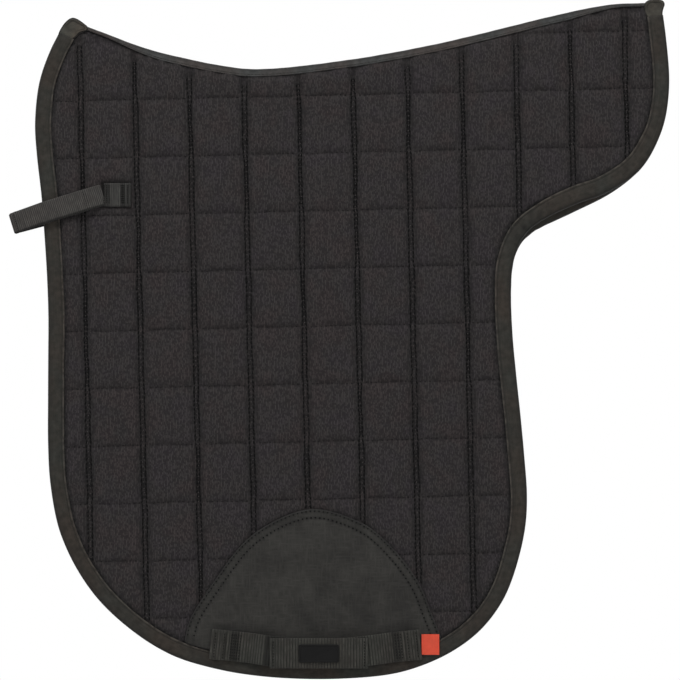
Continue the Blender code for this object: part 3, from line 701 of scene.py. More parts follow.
# How the seams draw the cloth in
in_channel = mound(away - gap, CHANNEL_DIP_WIDTH)
bead = mound(du, BEAD_SHARE * gap) * (gap / OPEN_GAP)
in_row = mound(dv, ROW_DIP_WIDTH) * ramp(away, *ROW_DEEPENS)
soft = 0.12 * MM * ripple(u * 0.7 + v * 0.4, 5.0) + 0.1 * MM * ripple(v * 0.8 - u * 0.3, 9.0)
face = height + soft - CHANNEL_DIP * in_channel + CHANNEL_BEAD * bead - ROW_DIP * in_row

# How dark the cloth is painted: the seams' own dark, and painted shade in a channel's hollow, on its
# slopes, under a row and on the downward slope above it
fading = 0.8 + 0.34 * ripple(3.0 * v, column * 3 + np.sign(du) + 60.0)
lines = LINE_DARK * (fading * mound(away - gap, LINE_WIDTH))
band = BAND_DARK * (1 - ramp(away - gap, *BAND_EDGE))
shoulder = (1 - ramp(away - gap, *BESIDE_EDGE)) * np.where(du > 0, 1.1, 0.85)
crossing = mound(dv, CROSSING_WIDTH)
uneven = 0.86 + 0.14 * np.sin(column * 37.7 + np.floor(v / ROW_PITCH) * 71.3)
under_row = mound(dv, UNDER_ROW_WIDTH) * (0.85 + 0.25 * ripple(u, row + 17.0))
above_row = np.where(dv > 0, 1 - ramp(dv, *ABOVE_ROW_EDGE), 0.0)
seams_and_painted_shade = np.maximum.reduce(
    [
        np.maximum(lines, band) * (1 - 0.5 * crossing) * uneven,
        BESIDE_DARK * shoulder * (1 - 0.6 * crossing),
        BESIDE_DARK * under_row,
        ABOVE_ROW_SHADE * above_row,
    ]
)
seam_shade = yardage.attributes.new("seam", "FLOAT", "POINT")
for side in SIDES:
    clear = clearances(yard_spots, side)
    free = pressed(clear)
    # Painted shadow where the cloth dips under the binding, the strip, the patch and the anchor
    tucked = [
        darkness * (1 - ramp(away, 0.2 * MM, width))
        for away, (width, darkness) in zip(clear, TUCKED_SHADES)
    ]
    seam_shade.data.foreach_set("value", np.clip(np.maximum.reduce([seams_and_painted_shade * free, *tucked]), 0, 1))
    mesh = cut_cloth(side, COVER_FACE + np.maximum(face, DEEPEST) * free, COVER_BACK)
    name = side + "_cover_cloth"
    cover = add_piece(name, mesh, quilt_knit, side + "_half", side + "_quilted_cover")


# The quilting thread
# Dark thread fills both seams of each channel, a lighter one crosses between them and shows as
# specks, and single stitches dot the rows. Each stitch is a short spindle sunk into the cloth.
CHANNEL_STITCH = 3.9 * MM
CHANNEL_FILL = 0.97
SEAM_LEAN = 0.42
SEAM_LOOSE = 0.4 * MM
CROSS_STITCH = 4.7 * MM
SPECK_HALF = 0.55 * MM
SPECK_DRIFT = 0.9 * MM
SPECK_MARGIN = 0.6 * MM
ROW_STITCH = 4.4 * MM
ROW_FILL = 0.4
ROW_LOOSE = 0.45 * MM
ROW_ENDS = 3.5 * MM
THREAD_SUNK = 0.55 * MM
LEAST_SWELL = 0.25


def shaded(colour, share):
    """A colour made darker or lighter."""
    return (*(share * part for part in colour[:3]), 1.0)


def scatter(count, seed):
    """Numbers between -1 and 1 without order, the same for the same seed."""
    return (np.sin((np.arange(count) + 1.0) * 12.9898 + seed * 78.233) * 43758.5453) % 2.0 - 1.0


def thread(name, colour):
    """Twisted thread, a little glossy, with its strands as a fine bump."""
    made, tree, place = new_finish(name)
    patchy = mixed(tree, noise(tree, place, 180.0), shaded(colour, 0.6), shaded(colour, 1.4))
    return finished(made, patchy, 0.85, 0.12, (0.4, 0.2 * MM, noise(tree, place, 1500.0, 1.0)))


def stitches(name, side, ends, levels, radius, material, body=None):
    """One spindle of thread between each pair of ends, (x, z) places on a half, all in one piece."""
    out = SIDES[side] * np.broadcast_to(levels, len(ends[0]))
    starts, ends = (np.column_stack([spots[:, 0], out, spots[:, 1]]) for spots in ends)
    bm = bmesh.new()
    bmesh.ops.create_icosphere(bm, subdivisions=1, radius=1.0)
    spindle = mesh_of(bm)
    bm = bmesh.new()
    for start, end in zip(starts, ends):
        turn = Vector(end - start).to_track_quat("X", "Z").to_matrix().to_4x4()
        size = Matrix.Diagonal((np.linalg.norm(end - start) / 2, radius, radius, 1.0))
        place = Matrix.Translation((start + end) / 2) @ turn @ size
        spindle.transform(place)
        bm.from_mesh(spindle)
        spindle.transform(place.inverted())
    return add_piece(name, mesh_of(bm), material, body or side + "_half")


dark_thread = thread("black thread", tone(9, 9, 9))
dull_thread = thread("dull thread", tone(22, 21, 21))
light_thread = thread("grey thread", tone(68, 65, 64))
seams, specks, dots = ([], []), ([], []), ([], [])
length = (FIRST_ROW * ROW_PITCH, LAST_ROW * ROW_PITCH)
run = np.arange(*length, CHANNEL_STITCH)
speckled = np.arange(*length, CROSS_STITCH)
for k in range(FIRST_COLUMN + 1, LAST_COLUMN):
    for way in (-1, 1):
        for group, share in zip(seams, (0.0, CHANNEL_FILL)):
            v = run + share * CHANNEL_STITCH
            loose = SEAM_LOOSE * scatter(len(run), k + 0.3 * way + share)
            across = k * CHANNEL_PITCH + channel_sway(k, v) + loose
            across += way * (1.0 - SEAM_LEAN * share) * channel_gap(k, v)
            group.append(np.column_stack([across, v]))
    v = speckled + SPECK_DRIFT * scatter(len(speckled), k)
    across = k * CHANNEL_PITCH + channel_sway(k, v)
    across += 0.4 * (channel_gap(k, v) - SPECK_MARGIN) * scatter(len(speckled), k + 0.5)
    lean = 0.3 * MM + 0.25 * MM * scatter(len(speckled), k + 0.7)
    for group, way in zip(specks, (-1, 1)):
        group.append(np.column_stack([across + way * lean, v + way * SPECK_HALF]))
run = np.arange(FIRST_COLUMN * CHANNEL_PITCH, LAST_COLUMN * CHANNEL_PITCH, ROW_STITCH)
run = run[np.abs(run - np.round(run / CHANNEL_PITCH) * CHANNEL_PITCH) > ROW_ENDS]
jitter = ROW_LOOSE * np.sin(run * 9400.0)
for k in range(FIRST_ROW + 1, LAST_ROW):
    for group, u, aside in zip(dots, (run, run + ROW_FILL * ROW_STITCH), (jitter, 0.0)):
        group.append(np.column_stack([u, k * ROW_PITCH + row_sway(k, u) + aside]))

for side in SIDES:
    for name, groups, rise, radius, material in (
        ("_channel_seams", seams, 0.2 * MM, 0.8 * MM, dark_thread),
        ("_channel_specks", specks, 0.95 * MM, 0.42 * MM, light_thread),
        ("_row_seams", dots, 0.2 * MM, 0.6 * MM, dull_thread),
    ):
        flat = [np.vstack(group) for group in groups]
        held = seam_height(*flat[0].T)[0] if groups is dots else CHANNEL_FLOOR
        ends = np.array([on_pad(spots) for spots in flat])
        inside = np.min([reach(spots, outlines[side], closed=True)[0] for spots in ends], axis=0)
        free = pressed(clearances(ends.mean(axis=0), side))
        shown = (inside > BINDING_WIDTH - 1.0 * MM) & (free > LEAST_SWELL)
        levels = COVER_FACE + (held - THREAD_SUNK + rise) * free
        stitches(side + name, side, ends[:, shown], levels[shown], radius, material)


# The edge bindings
# A woven tape folded round the edge of each half and sewn through, a little puffed between its
# stitches and the edge. It gathers into small wrinkles where the edge curves inwards.

# Points of the folded tape, (inset from the edge, level) in millimetres, the painted shade at some, and a
# painted highlight along its inner fold
BINDING_PROFILE = [
    (15.0, 0.9), (14.6, 0.5), (9.0, 0.5), (2.6, 0.5), (1.3, 0.9), (0.5, 2.2), (0.1, 3.9), (0.0, 5.4),
    (0.15, 7.1), (0.6, 8.6), (1.4, 9.6), (2.8, 10.15), (5.0, 10.35), (8.0, 10.4), (10.6, 10.3),
    (12.0, 10.05), (12.7, 9.85), (13.3, 10.0), (14.1, 10.35), (14.7, 10.2), (15.0, 9.7), (14.9, 9.2),
    (14.4, 8.95), (8.0, 8.9), (2.6, 8.9), (1.5, 7.6), (1.2, 5.4), (1.5, 3.0), (2.6, 1.75), (9.0, 1.7),
    (14.6, 1.7), (15.0, 1.4),
]
BINDING_SHADE_BANDS = {
    4: 0.35, 5: 0.9, 6: 0.9, 7: 0.9, 8: 0.9, 9: 0.8, 10: 0.55, 11: 0.15, 16: 0.5, 20: 0.5, 21: 0.8,
}
BINDING_HIGHLIGHTS = {17: 0.1, 18: 0.55, 19: 0.55}
BINDING_STITCH = 3.2 * MM
BINDING_FILL = 0.8
BINDING_SEAM = 12.7 * MM
BINDING_THREAD = 0.28 * MM
BINDING_FACES = (("outer", 9.85 * MM), ("inner", 0.55 * MM))
TAPE_YARN = 0.55 * MM
WAIST_CREASES = ((-14.0, 0.5), (-6.0, 0.8), (3.0, 1.5), (10.5, 0.8), (18.0, 0.9), (27.0, 0.5))
CREASE_WIDTH = 2.9 * MM
CREASE_SHADE = 0.6
CREASE_MIDDLE, CREASE_REACH = 4.5, 3.4
WRINKLE = 2.3 * MM
PUCKER_PULL = 20.0 * MM
MOST_PUCKER = 0.55
WING_START = (250.0 * MM, 285.0 * MM)
WING_END = (345.0 * MM, 372.0 * MM)
WING_UNDER = -60.0 * MM
WING_WIDENING = 1.4 * MM


def crossed_yarns(tree, place, *axes):
    """The relief of a plain weave, from the (axis, pitch) of its yarns each way."""
    waves = [wave(tree, along_axis(tree, place, axis), pitch) for axis, pitch in axes]
    return spread(tree, calc(tree, "MULTIPLY", *waves), -1.0, 1.0)


def swayed(tree, spot, place, scale, by):
    """A pattern's place, moved a little this way and that."""
    sway = noise(tree, place, scale).outputs["Color"]
    shift = add(tree, "VectorMath", {0: sway, "Scale": by}, operation="SCALE")
    return add(tree, "VectorMath", {0: spot, 1: shift}, operation="ADD")


def weave(name, light, dark, yarn, depth=0.12 * MM, rib=0.0, bands=(), highlight_bands=(), marked_dark=True, blots=0.28):
    """Woven tape or webbing cloth: crossing yarns drawn along the piece's own UV, in metres.

    A rib is the pitch of the grooves across it. Bands are (place across, darkness) pairs of painted shade,
    and highlight bands are the same for a painted highlight along a raised fold. A marked dark piece is
    also darkened by its seam mark, its dark seams and painted shade.
    """
    made, tree, place = new_finish(name)
    along = add(tree, "UVMap", uv_map="weave")
    wavering = swayed(tree, along, place, 90.0, 0.5 * MM)
    yarns = crossed_yarns(tree, wavering, ("X", yarn), ("Y", 0.8 * yarn))
    cloud = noise(tree, place, 70.0, 4.0, Roughness=0.6)
    blot = noise(tree, place, 210.0, 3.0)
    grain = (620.0, 90.0, 1.0) if rib else (40.0, 900.0, 1.0)
    slub = fibres(tree, along, grain)
    yarn_share = 0.3 if rib else 1.0
    uneven = calc(tree, "ADD", cloud, slub)
    uneven = calc(tree, "ADD", uneven, calc(tree, "MULTIPLY", yarns, yarn_share))
    colour = mixed(tree, spread(tree, uneven, 0.8, 1.15 + 1.05 * yarn_share), dark, light)
    hue = 0.03 if rib else 0.09
    brown, green = (1 + hue, 0.99, 1 - hue, 1), (1 - hue, 1.01, 0.99, 1)
    tint = mixed(tree, spread(tree, noise(tree, place, 30.0, 3.0), 0.35, 0.65), brown, green)
    for factor in (tint, spread(tree, blot, 0.3, 0.7, 1 - blots, 1 + blots)):
        colour = mixed(tree, 1.0, colour, factor, blend_type="MULTIPLY")
    if rib:
        # Painted shade in the grooves between the ribs, uneven in patches
        crest = calc(tree, "ABSOLUTE", wave(tree, along_axis(tree, wavering, "X"), 2 * rib))
        groove = spread(tree, crest, 0.1, 0.85, 0.85, 0.0)
        groove_shade_patches = spread(tree, blot, 0.35, 0.65, 0.45, 1.2)
        painted_groove_shade = calc(tree, "MULTIPLY", groove, groove_shade_patches, use_clamp=True)
        colour = mixed(tree, painted_groove_shade, colour, tone(14, 14, 13))
    # A painted highlight along a raised fold, and painted shade in bands across the piece
    for marks, drawn_to, patchy, least in (
        (highlight_bands, tone(84, 79, 73), blot, 0.1),
        (bands, tone(10, 10, 9), cloud, 0.7),
    ):
        if marks:
            widest = marks[-1][0]
            across = calc(tree, "DIVIDE", along_axis(tree, along, "Y"), widest)
            stops = [(at / widest, (dark, dark, dark, 1.0)) for at, dark in marks]
            broken = spread(tree, patchy, 0.4, 0.6, least)
            strength = calc(tree, "MULTIPLY", ramped(tree, across, stops), broken)
            colour = mixed(tree, strength, colour, drawn_to)
    if marked_dark:
        # Its mark darkens it: dark seams and painted shade
        colour = mixed(tree, seam_and_shade_mark(tree), colour, tone(10, 10, 9))
    relief = calc(tree, "ADD", yarns, slub)
    return finished(made, colour, 0.85, 0.2, (0.6, depth, relief), sheen=0.08)


def laid(rows, shades=None):
    """A tube of cloth laid over rows of points, closed round each row and at both its ends.

    Its UV map, weave, runs along the piece and across it in metres. A shade darkens each point.
    """
    rows = np.asarray(rows)
    shades = np.zeros(rows.shape[:2]) if shades is None else np.asarray(shades)
    rows, shades = (np.concatenate([part, part[:, :1]], axis=1) for part in (rows, shades))
    count, width = shades.shape
    along = measured(rows.mean(axis=1))
    across = measured(rows[count // 2])
    bm = bmesh.new()
    mark = bm.verts.layers.float.new("seam")
    bmesh.ops.create_grid(bm, x_segments=width - 1, y_segments=count - 1, size=1.0)
    for vert, spot, shade in zip(bm.verts, rows.reshape(-1, 3), shades.ravel()):
        vert.co = spot
        vert[mark] = shade
    uv = bm.loops.layers.uv.new("weave")
    for face in bm.faces:
        for loop in face.loops:
            row, column = divmod(loop.vert.index, width)
            loop[uv].uv = (along[row], across[column])
    bmesh.ops.remove_doubles(bm, verts=bm.verts, dist=0.001 * MM)
    bmesh.ops.holes_fill(bm, edges=boundary(bm), sides=0)
    return shaped(bm)


def banded(profile, marks):
    """Bands of darkness across a laid piece at the marked points of its profile, none elsewhere."""
    across = measured(np.array([*profile, profile[0]])) * MM
    told = {k for mark in marks for k in (mark - 1, mark, mark + 1)} | {0, len(across) - 1}
    return [(across[k], marks.get(k, 0.0)) for k in sorted(told) if k >= 0]


def sewn_along(line, normal, inset, pitch, fill):
    """Starts and ends of stitches along a line, drawn in from it."""
    path = line + normal * inset
    begin = np.arange(pitch, measured(path)[-1] - pitch, pitch)
    return [places_at(at, path) for at in (begin, begin + fill * pitch)]


tape_thread = thread("tape thread", tone(46, 44, 42))
binding_weave = weave(
    "binding tape", tone(55, 52, 48), tone(36, 34, 32), TAPE_YARN,
    bands=banded(BINDING_PROFILE, BINDING_SHADE_BANDS), highlight_bands=banded(BINDING_PROFILE, BINDING_HIGHLIGHTS),
)
for side, way in SIDES.items():
    line = edge_lines[side]
    normal = left_of(line)
    bend = np.gradient(np.unwrap(np.arctan2(normal[:, 1], normal[:, 0]))) / EDGE_STEP
    hollow = np.convolve(np.clip(-bend, 0, None), np.ones(15) / 15, mode="same")
    along = np.arange(len(line)) * EDGE_STEP
    from_waist = along - along[hollow.argmax()]
    creased = sum(depth * mound(from_waist - at * MM, CREASE_WIDTH) for at, depth in WAIST_CREASES)
    under_wing = ramp(line[:, 0], *WING_START) * (1 - ramp(line[:, 0], *WING_END))
    under_wing = under_wing * (line[:, 1] < WING_UNDER)
    rows, shades = [], []
    for k, here in enumerate(along):
        pucker = math.sin(here / WRINKLE + 2 * ripple(here, 4.0))
        pucker *= min(hollow[k] * PUCKER_PULL, MOST_PUCKER)
        gather = pucker - creased[k]
        drift = 0.25 * MM * ripple(here, 21.0) + WING_WIDENING * under_wing[k]
        profile, shading = [], []
        for inset, level in BINDING_PROFILE:
            # Painted shade in the creases where the tape gathers at the waist
            sunk_in = mound(inset - CREASE_MIDDLE, CREASE_REACH) if level > 9.5 else 0.0
            shading.append(min(CREASE_SHADE * creased[k] * sunk_in, 1.0))
            share = inset * MM / BINDING_WIDTH
            inset = inset * MM + drift * share + 0.5 * MM * pucker * (1 - share)
            lift = gather * MM * math.sin(math.pi * share) + 0.15 * MM * ripple(here, 31.0) * share
            level = level * MM + (lift if level > 8.8 and inset > 1.5 * MM else 0.0)
            spot = line[k] + normal[k] * inset
            profile.append((spot[0], way * level, spot[1]))
        rows.append(profile)
        shades.append(shading)
    name = side + "_binding_tape"
    add_piece(name, laid(rows, shades), binding_weave, side + "_half", side + "_edge_binding")
    ends = sewn_along(line, normal, BINDING_SEAM, BINDING_STITCH, BINDING_FILL)
    for face, level in BINDING_FACES:
        name = side + "_binding_stitches_" + face
        stitches(name, side, ends, level, BINDING_THREAD, tape_thread)


# The spine strip
# A second tape, folded over the top of both halves from tip to tip. Each half of it is drawn as a
# piece of its own, which stretches from the spine to the half that it closes.

# Points of the folded tape, (level, drop from the top) in millimetres, and the painted shade at some,
# darkest on the top where it turns away
STRIP_PROFILE = [
    (0.0, 0.0), (4.0, 0.0), (7.2, 0.15), (8.9, 0.7), (9.8, 1.6), (10.1, 2.8), (10.15, 4.6), (9.95, 5.4),
    (10.2, 6.2), (10.05, 6.9), (9.5, 7.1), (9.0, 6.8), (8.9, 5.0), (8.8, 2.8), (8.2, 1.8), (6.9, 1.35),
    (4.0, 1.2), (0.0, 1.2),
]
STRIP_SHADE_BANDS = {0: 0.6, 1: 0.6, 2: 0.7, 3: 0.75, 4: 0.6, 5: 0.3, 7: 0.45, 9: 0.2, 10: 0.8}
STRIP_SIDE = 5.0
STRIP_TURN = 1.6
STRIP_SEAM = 3.8
STRIP_FACE, STRIP_THREAD = 9.95 * MM, 0.26 * MM
STRIP_NARROWED = 0.3
STRIP_WIDENS = (15.0 * MM, 80.0 * MM)
strip_weave = weave(
    "spine tape", tone(80, 77, 77), tone(56, 54, 54), TAPE_YARN,
    bands=banded(STRIP_PROFILE, STRIP_SHADE_BANDS), marked_dark=False,
)
normal = left_of(top_line)
along = np.arange(len(top_line)) * EDGE_STEP
wide = ramp(np.minimum(along, along[-1] - along), *STRIP_WIDENS)
wide = STRIP_NARROWED + (1 - STRIP_NARROWED) * wide
for side, way in SIDES.items():
    rows = []
    for k, spot in enumerate(top_line):
        drift = 0.2 * MM * ripple(along[k], 41.0)
        profile = []
        for level, drop in STRIP_PROFILE:
            if level > STRIP_SIDE:
                drop = min(drop, STRIP_TURN + (drop - STRIP_TURN) * wide[k])
            at = spot + normal[k] * (drop * MM + (drift if level > STRIP_SIDE else 0.0))
            profile.append((at[0], way * level * MM, at[1]))
        rows.append(profile)
    strip = add_piece(side + "_spine_tape", laid(rows), strip_weave, node="spine_strip")
    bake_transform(strip)
    inset = (STRIP_TURN + STRIP_SEAM * wide[:, None]) * MM
    ends = sewn_along(top_line, normal, inset, BINDING_STITCH, BINDING_FILL)
    stitches(side + "_spine_stitches", side, ends, STRIP_FACE, STRIP_THREAD, tape_thread)


# The two tips
# At each end of the spine the binding is carried over the tip and folded in under the strip, and
# rolls into a smooth arch with a raised rim. Each arch is split at the fold, one for each half.

# Outlines, (x, z) in millimetres, and rings within them, (inset, level, darkness of painted shade)
TIP_OUTLINES = {
    "front_tip": (
        (-148.3, 37.8), (-152.0, 40.8), (-155.7, 43.5), (-159.0, 45.3), (-162.1, 46.0), (-165.5, 44.6),
        (-168.8, 41.6), (-171.6, 37.8), (-174.2, 33.2), (-175.2, 29.8), (-172.5, 25.0), (-164.0, 25.0),
        (-158.5, 28.5), (-155.3, 32.0), (-151.0, 33.6), (-147.6, 34.4),
    ),
    "rear_tip": (
        (351.0, 56.0), (352.4, 59.4), (355.2, 61.6), (359.0, 62.3), (363.5, 62.3), (367.2, 61.8),
        (369.6, 60.2), (370.3, 57.4), (369.2, 54.6), (368.2, 51.0), (368.2, 47.0), (366.0, 43.0),
        (357.5, 43.0), (353.6, 46.5), (351.2, 51.5),
    ),
}
TIP_RINGS = (
    (0.0, 0.0, 0.9), (0.0, 8.9, 0.9), (0.3, 10.0, 0.85), (1.0, 10.7, 0.8), (1.4, 11.0, 0.25),
    (1.9, 11.05, 0.0), (2.5, 10.7, 0.1), (3.1, 10.2, 0.6), (3.8, 10.3, 0.15), (5.0, 10.4, 0.0),
    (7.5, 10.4, 0.0),
)
TIP_TUCK = 9.7
TIP_TUCKS = (-2.0 * MM, 5.0 * MM)
# The tape over the tips is drawn lighter than the same tape along the edge: painted light on the top of
# the pad
tip_weave = weave("tip tape", tone(74, 70, 65), tone(52, 49, 45), TAPE_YARN)


def rounded(points, times):
    """A closed line with its corners cut again and again until they are round."""
    for _ in range(times):
        ahead = np.roll(points, -1, axis=0)
        cut = np.stack([0.75 * points + 0.25 * ahead, 0.25 * points + 0.75 * ahead], axis=1)
        points = cut.reshape(-1, 2)
    return points


def centre_of(node):
    low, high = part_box(node)
    return np.array(((low.x + high.x) / 2, (low.z + high.z) / 2))


for side, way in SIDES.items():
    for tip, last, before in (("front_tip", 0, 4), ("rear_tip", -1, -5)):
        down = edge_lines[side][before] - edge_lines[side][last]
        down /= np.linalg.norm(down)
        outline = rounded(np.array(TIP_OUTLINES[tip]) * MM, 2)
        centre = outline.mean(axis=0)
        spokes = outline - centre
        lengths = np.linalg.norm(spokes, axis=1, keepdims=True)
        rings, shades = [], []
        for inset, level, shade in TIP_RINGS:
            ring = centre + spokes / lengths * np.maximum(lengths - inset * MM, 0.1 * lengths)
            tucked = ramp((ring - centre_of(tip + "_roll")) @ down, *TIP_TUCKS)
            lifted = level + (TIP_TUCK - level) * tucked * (level > TIP_TUCK)
            rings.append([(x, way * z * MM, y) for (x, y), z in zip(ring, lifted)])
            # Painted shade along the arch's outer rim and in its crease, fading where it tucks under the
            # binding
            shades.append(shade * (1 - tucked) if inset > 1 else np.full(len(ring), shade))
        mesh = laid(rings, shades)
        for loop, spot in zip(mesh.loops, mesh.uv_layers["weave"].data):
            at = mesh.vertices[loop.vertex_index].co
            spot.uv = (at.x, at.z)
        roll = add_piece(side + "_" + tip, mesh, tip_weave, node=tip + "_roll")
        mesh.set_sharp_from_angle(angle=math.radians(50))
        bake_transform(roll)


# The foam and the linings
# A sheet of foam lies behind each cover, and the lining that touches the horse is quilted with the
# same seams but lies flatter. Both follow the half's outline inside the binding.
FOAM_LEVELS = (3.3 * MM, 7.3 * MM)
FOAM_SETBACK = 3.6 * MM
LINING_FACE = 2.0 * MM
LINING_BACK = 3.0 * MM
LINING_LOFT = 1.35 * MM


def foam_material(name, dark, light):
    """Open-celled foam."""
    made, tree, place = new_finish(name)
    cells = add(tree, "TexVoronoi", {"Vector": place, "Scale": 900.0})
    colour = mixed(tree, noise(tree, place, 40.0, 3.0), dark, light)
    return finished(made, colour, 0.95, 0.5, (0.5, 0.4 * MM, cells))


def inset_face(bm, face, width, depth=0.0):
    """Draws a face in by a width, with a new rim of faces round it."""
    rim = {"thickness": width, "depth": depth, "use_boundary": True, "use_even_offset": True}
    bmesh.ops.inset_region(bm, faces=[face], **rim)


foam = foam_material("grey foam", tone(140, 140, 138), tone(160, 160, 157))
lining_knit = knit("lining knit", tone(54, 52, 52), tone(36, 35, 35))
for side in SIDES:
    body = side + "_half"
    bm = bmesh.new()
    sheet = bm.faces.new([bm.verts.new((x, z, FOAM_LEVELS[0])) for x, z in outlines[side][::2]])
    sheet.normal_update()
    inset_face(bm, sheet, FOAM_SETBACK)
    bmesh.ops.delete(bm, geom=[face for face in bm.faces if face is not sheet], context="FACES")
    raised = bmesh.ops.extrude_face_region(bm, geom=[sheet])["geom"]
    thickness = (0, 0, FOAM_LEVELS[1] - FOAM_LEVELS[0])
    bmesh.ops.translate(bm, verts=of_kind(raised, bmesh.types.BMVert), vec=thickness)
    mesh = shaped(bm, side)
    core = add_piece(side + "_foam_sheet", mesh, foam, body, side + "_foam_core")
    mesh.set_sharp_from_angle(angle=math.radians(40))

    free = pressed(clearances(yard_spots, side)[:2])
    # The lining's seams and hollows get the same painted shade
    seam_shade.data.foreach_set("value", np.clip(seams_and_painted_shade * free, 0, 1))
    swell = np.clip(yard[:, 2] / CROWN, 0, 1.0) - 0.25 * in_channel - 0.25 * in_row
    mesh = cut_cloth(side, LINING_FACE - LINING_LOFT * swell * free, LINING_BACK)
    lining = add_piece(side + "_lining_cloth", mesh, lining_knit, body, side + "_lining")


# The girth patches
# A smooth, tightly woven cloth sewn over the quilting at the bottom. Its arched edge is turned in
# and held by two rows of stitches, and it bows a little between its seams.
PATCH_BACK = 8.9 * MM
PATCH_EDGE = 9.6 * MM
PATCH_FACE = 11.4 * MM
PATCH_ROWS = (1.7 * MM, 7.6 * MM)
PATCH_ROW_WIDTH = 1.2 * MM
PATCH_STITCH = 3.9 * MM
PATCH_STITCH_FILL = 0.42
PATCH_THREAD = 0.85 * MM
PATCH_CELL = 2.6 * MM
PATCH_RIM = ((0.35, 10.3), (0.4, 10.9), (0.5, 11.2))
PATCH_YARN = 0.62 * MM
PATCH_DIP = 0.5 * MM
PATCH_BOW, BOW_EDGE = 0.35 * MM, (9 * MM, 30 * MM)
PATCH_SLACK, SLACK_EDGE = 0.2 * MM, (2 * MM, 14 * MM)
BETWEEN_ROWS, BETWEEN_WIDTH = 0.3 * MM, 2.0 * MM
PATCH_HELD = (1.2 * MM, 2.0 * MM)

# Shallow dents with painted shade, folds in the first two and the straps' painted shadows in the last two:
# the middle's x and z, the turn, the length and breadth, and the darkness
PATCH_FOLDS_AND_SHADOWS = (
    (50.0, -496.0, -0.99, 13.0, 5.0, 0.4),
    (101.7, -495.0, -0.97, 15.0, 6.0, 0.42),
    (-22.5, -502.2, -0.2, 16.0, 2.8, 0.5),
    (130.5, -503.0, 0.05, 20.0, 4.0, 0.4),
)


def canvas(name, light, dark):
    """Fine plain cloth drawn on Object coordinates, a little cloudy."""
    made, tree, place = new_finish(name)
    wavering = swayed(tree, place, place, 60.0, 0.9 * MM)
    yarns = crossed_yarns(tree, wavering, ("X", PATCH_YARN), ("Z", PATCH_YARN))
    grains = ((90.0, 90.0, 620.0), (620.0, 90.0, 90.0))
    slub = calc(tree, "MAXIMUM", *(fibres(tree, wavering, grain) for grain in grains))
    uneven = calc(tree, "ADD", noise(tree, place, 45.0, 5.0, Roughness=0.6), slub)
    colour = mixed(tree, spread(tree, uneven, 0.85, 1.35), dark, light)
    # Its mark darkens it: the stitch rows and painted shade
    colour = mixed(tree, seam_and_shade_mark(tree), colour, tone(10, 10, 10))
    relief = calc(tree, "ADD", yarns, slub)
    return finished(made, colour, 0.8, 0.22, (0.35, 0.1 * MM, relief), sheen=0.08)


patch_canvas = canvas("patch canvas", tone(54, 53, 50), tone(35, 34, 32))
for side in SIDES:
    outline = patch_lines[side]
    free_edge = np.abs(reach(outline, edge_lines[side])[0]) > BINDING_WIDTH + 1.2 * MM
    first = np.flatnonzero(free_edge & ~np.roll(free_edge, 1))[0]
    bell = np.roll(outline, -first, axis=0)[: int(free_edge.sum())]
    bm = bmesh.new()
    mark = bm.verts.layers.float.new("seam")
    face = bm.faces.new([bm.verts.new((x, z, PATCH_EDGE)) for x, z in outline])
    face.normal_update()
    for width, level in PATCH_RIM:
        inset_face(bm, face, width * MM)
        for vert in face.verts:
            vert.co.z = level * MM
    inner = [face]
    for axis, (low, high) in enumerate(zip(outline.min(axis=0), outline.max(axis=0))):
        across = (1 - axis, axis, 0)
        for cut in np.arange(low + PATCH_CELL, high, PATCH_CELL):
            edges = {edge for face in inner for edge in face.edges}
            verts = {vert for face in inner for vert in face.verts}
            parts = [*inner, *edges, *verts]
            place = (across[0] * cut, across[1] * cut, 0)
            made = bmesh.ops.bisect_plane(
                bm, geom=parts, dist=0.001 * MM, plane_co=place, plane_no=across
            )
            inner = of_kind(made["geom"], bmesh.types.BMFace)
    verts = list({vert for face in inner for vert in face.verts})
    flat = np.array([vert.co.xy for vert in verts])
    x, z = flat.T
    depth = np.abs(reach(flat, bell)[0])
    border = np.abs(reach(flat, outline, closed=True)[0])
    slack = ripple(x + 0.6 * z, 51.0) + ripple(0.5 * x - z, 52.0)
    swell = PATCH_BOW * ramp(border, *BOW_EDGE)
    swell += PATCH_SLACK * slack * ramp(border, *SLACK_EDGE)
    for at in PATCH_ROWS:
        swell -= PATCH_DIP * mound(depth - at, PATCH_ROW_WIDTH)
    swell += BETWEEN_ROWS * mound(depth - sum(PATCH_ROWS) / 2, BETWEEN_WIDTH)
    nearest = np.minimum.reduce([np.abs(depth - at) for at in PATCH_ROWS])
    # The stitch rows are darker: partly the rows' own dark, partly painted shade in their dip
    shade = 0.5 * mound(nearest, PATCH_ROW_WIDTH)
    # Painted shade in the folds, and the straps' painted shadows just above their ends
    for x_dent, z_dent, turn, length, breadth, darkness in PATCH_FOLDS_AND_SHADOWS:
        c, s = math.cos(turn), math.sin(turn)
        across, up = x - x_dent * MM, z - z_dent * MM
        along_dent, beside_dent = across * c + up * s, up * c - across * s
        fold = mound(along_dent, length * MM) * mound(beside_dent, breadth * MM)
        shade = np.maximum(shade, darkness * fold)
        swell -= PATCH_DIP * fold
    # Painted shade on the turned-in rim, where its bevel would catch the light
    for vert in bm.verts:
        vert[mark] = 0.5
    for vert, lift, dark in zip(verts, swell * ramp(border, *PATCH_HELD), shade):
        vert.co.z += lift
        vert[mark] = dark
    close_behind(bm, PATCH_BACK)
    name = side + "_patch_cloth"
    add_piece(name, shaped(bm, side), patch_canvas, side + "_half", side + "_girth_patch")
    rows = [sewn_along(bell, left_of(bell), at, PATCH_STITCH, PATCH_STITCH_FILL) for at in PATCH_ROWS]
    ends = [np.vstack(group) for group in zip(*rows)]
    name = side + "_patch_stitches"
    stitches(name, side, ends, PATCH_FACE - PATCH_DIP, PATCH_THREAD, dark_thread)


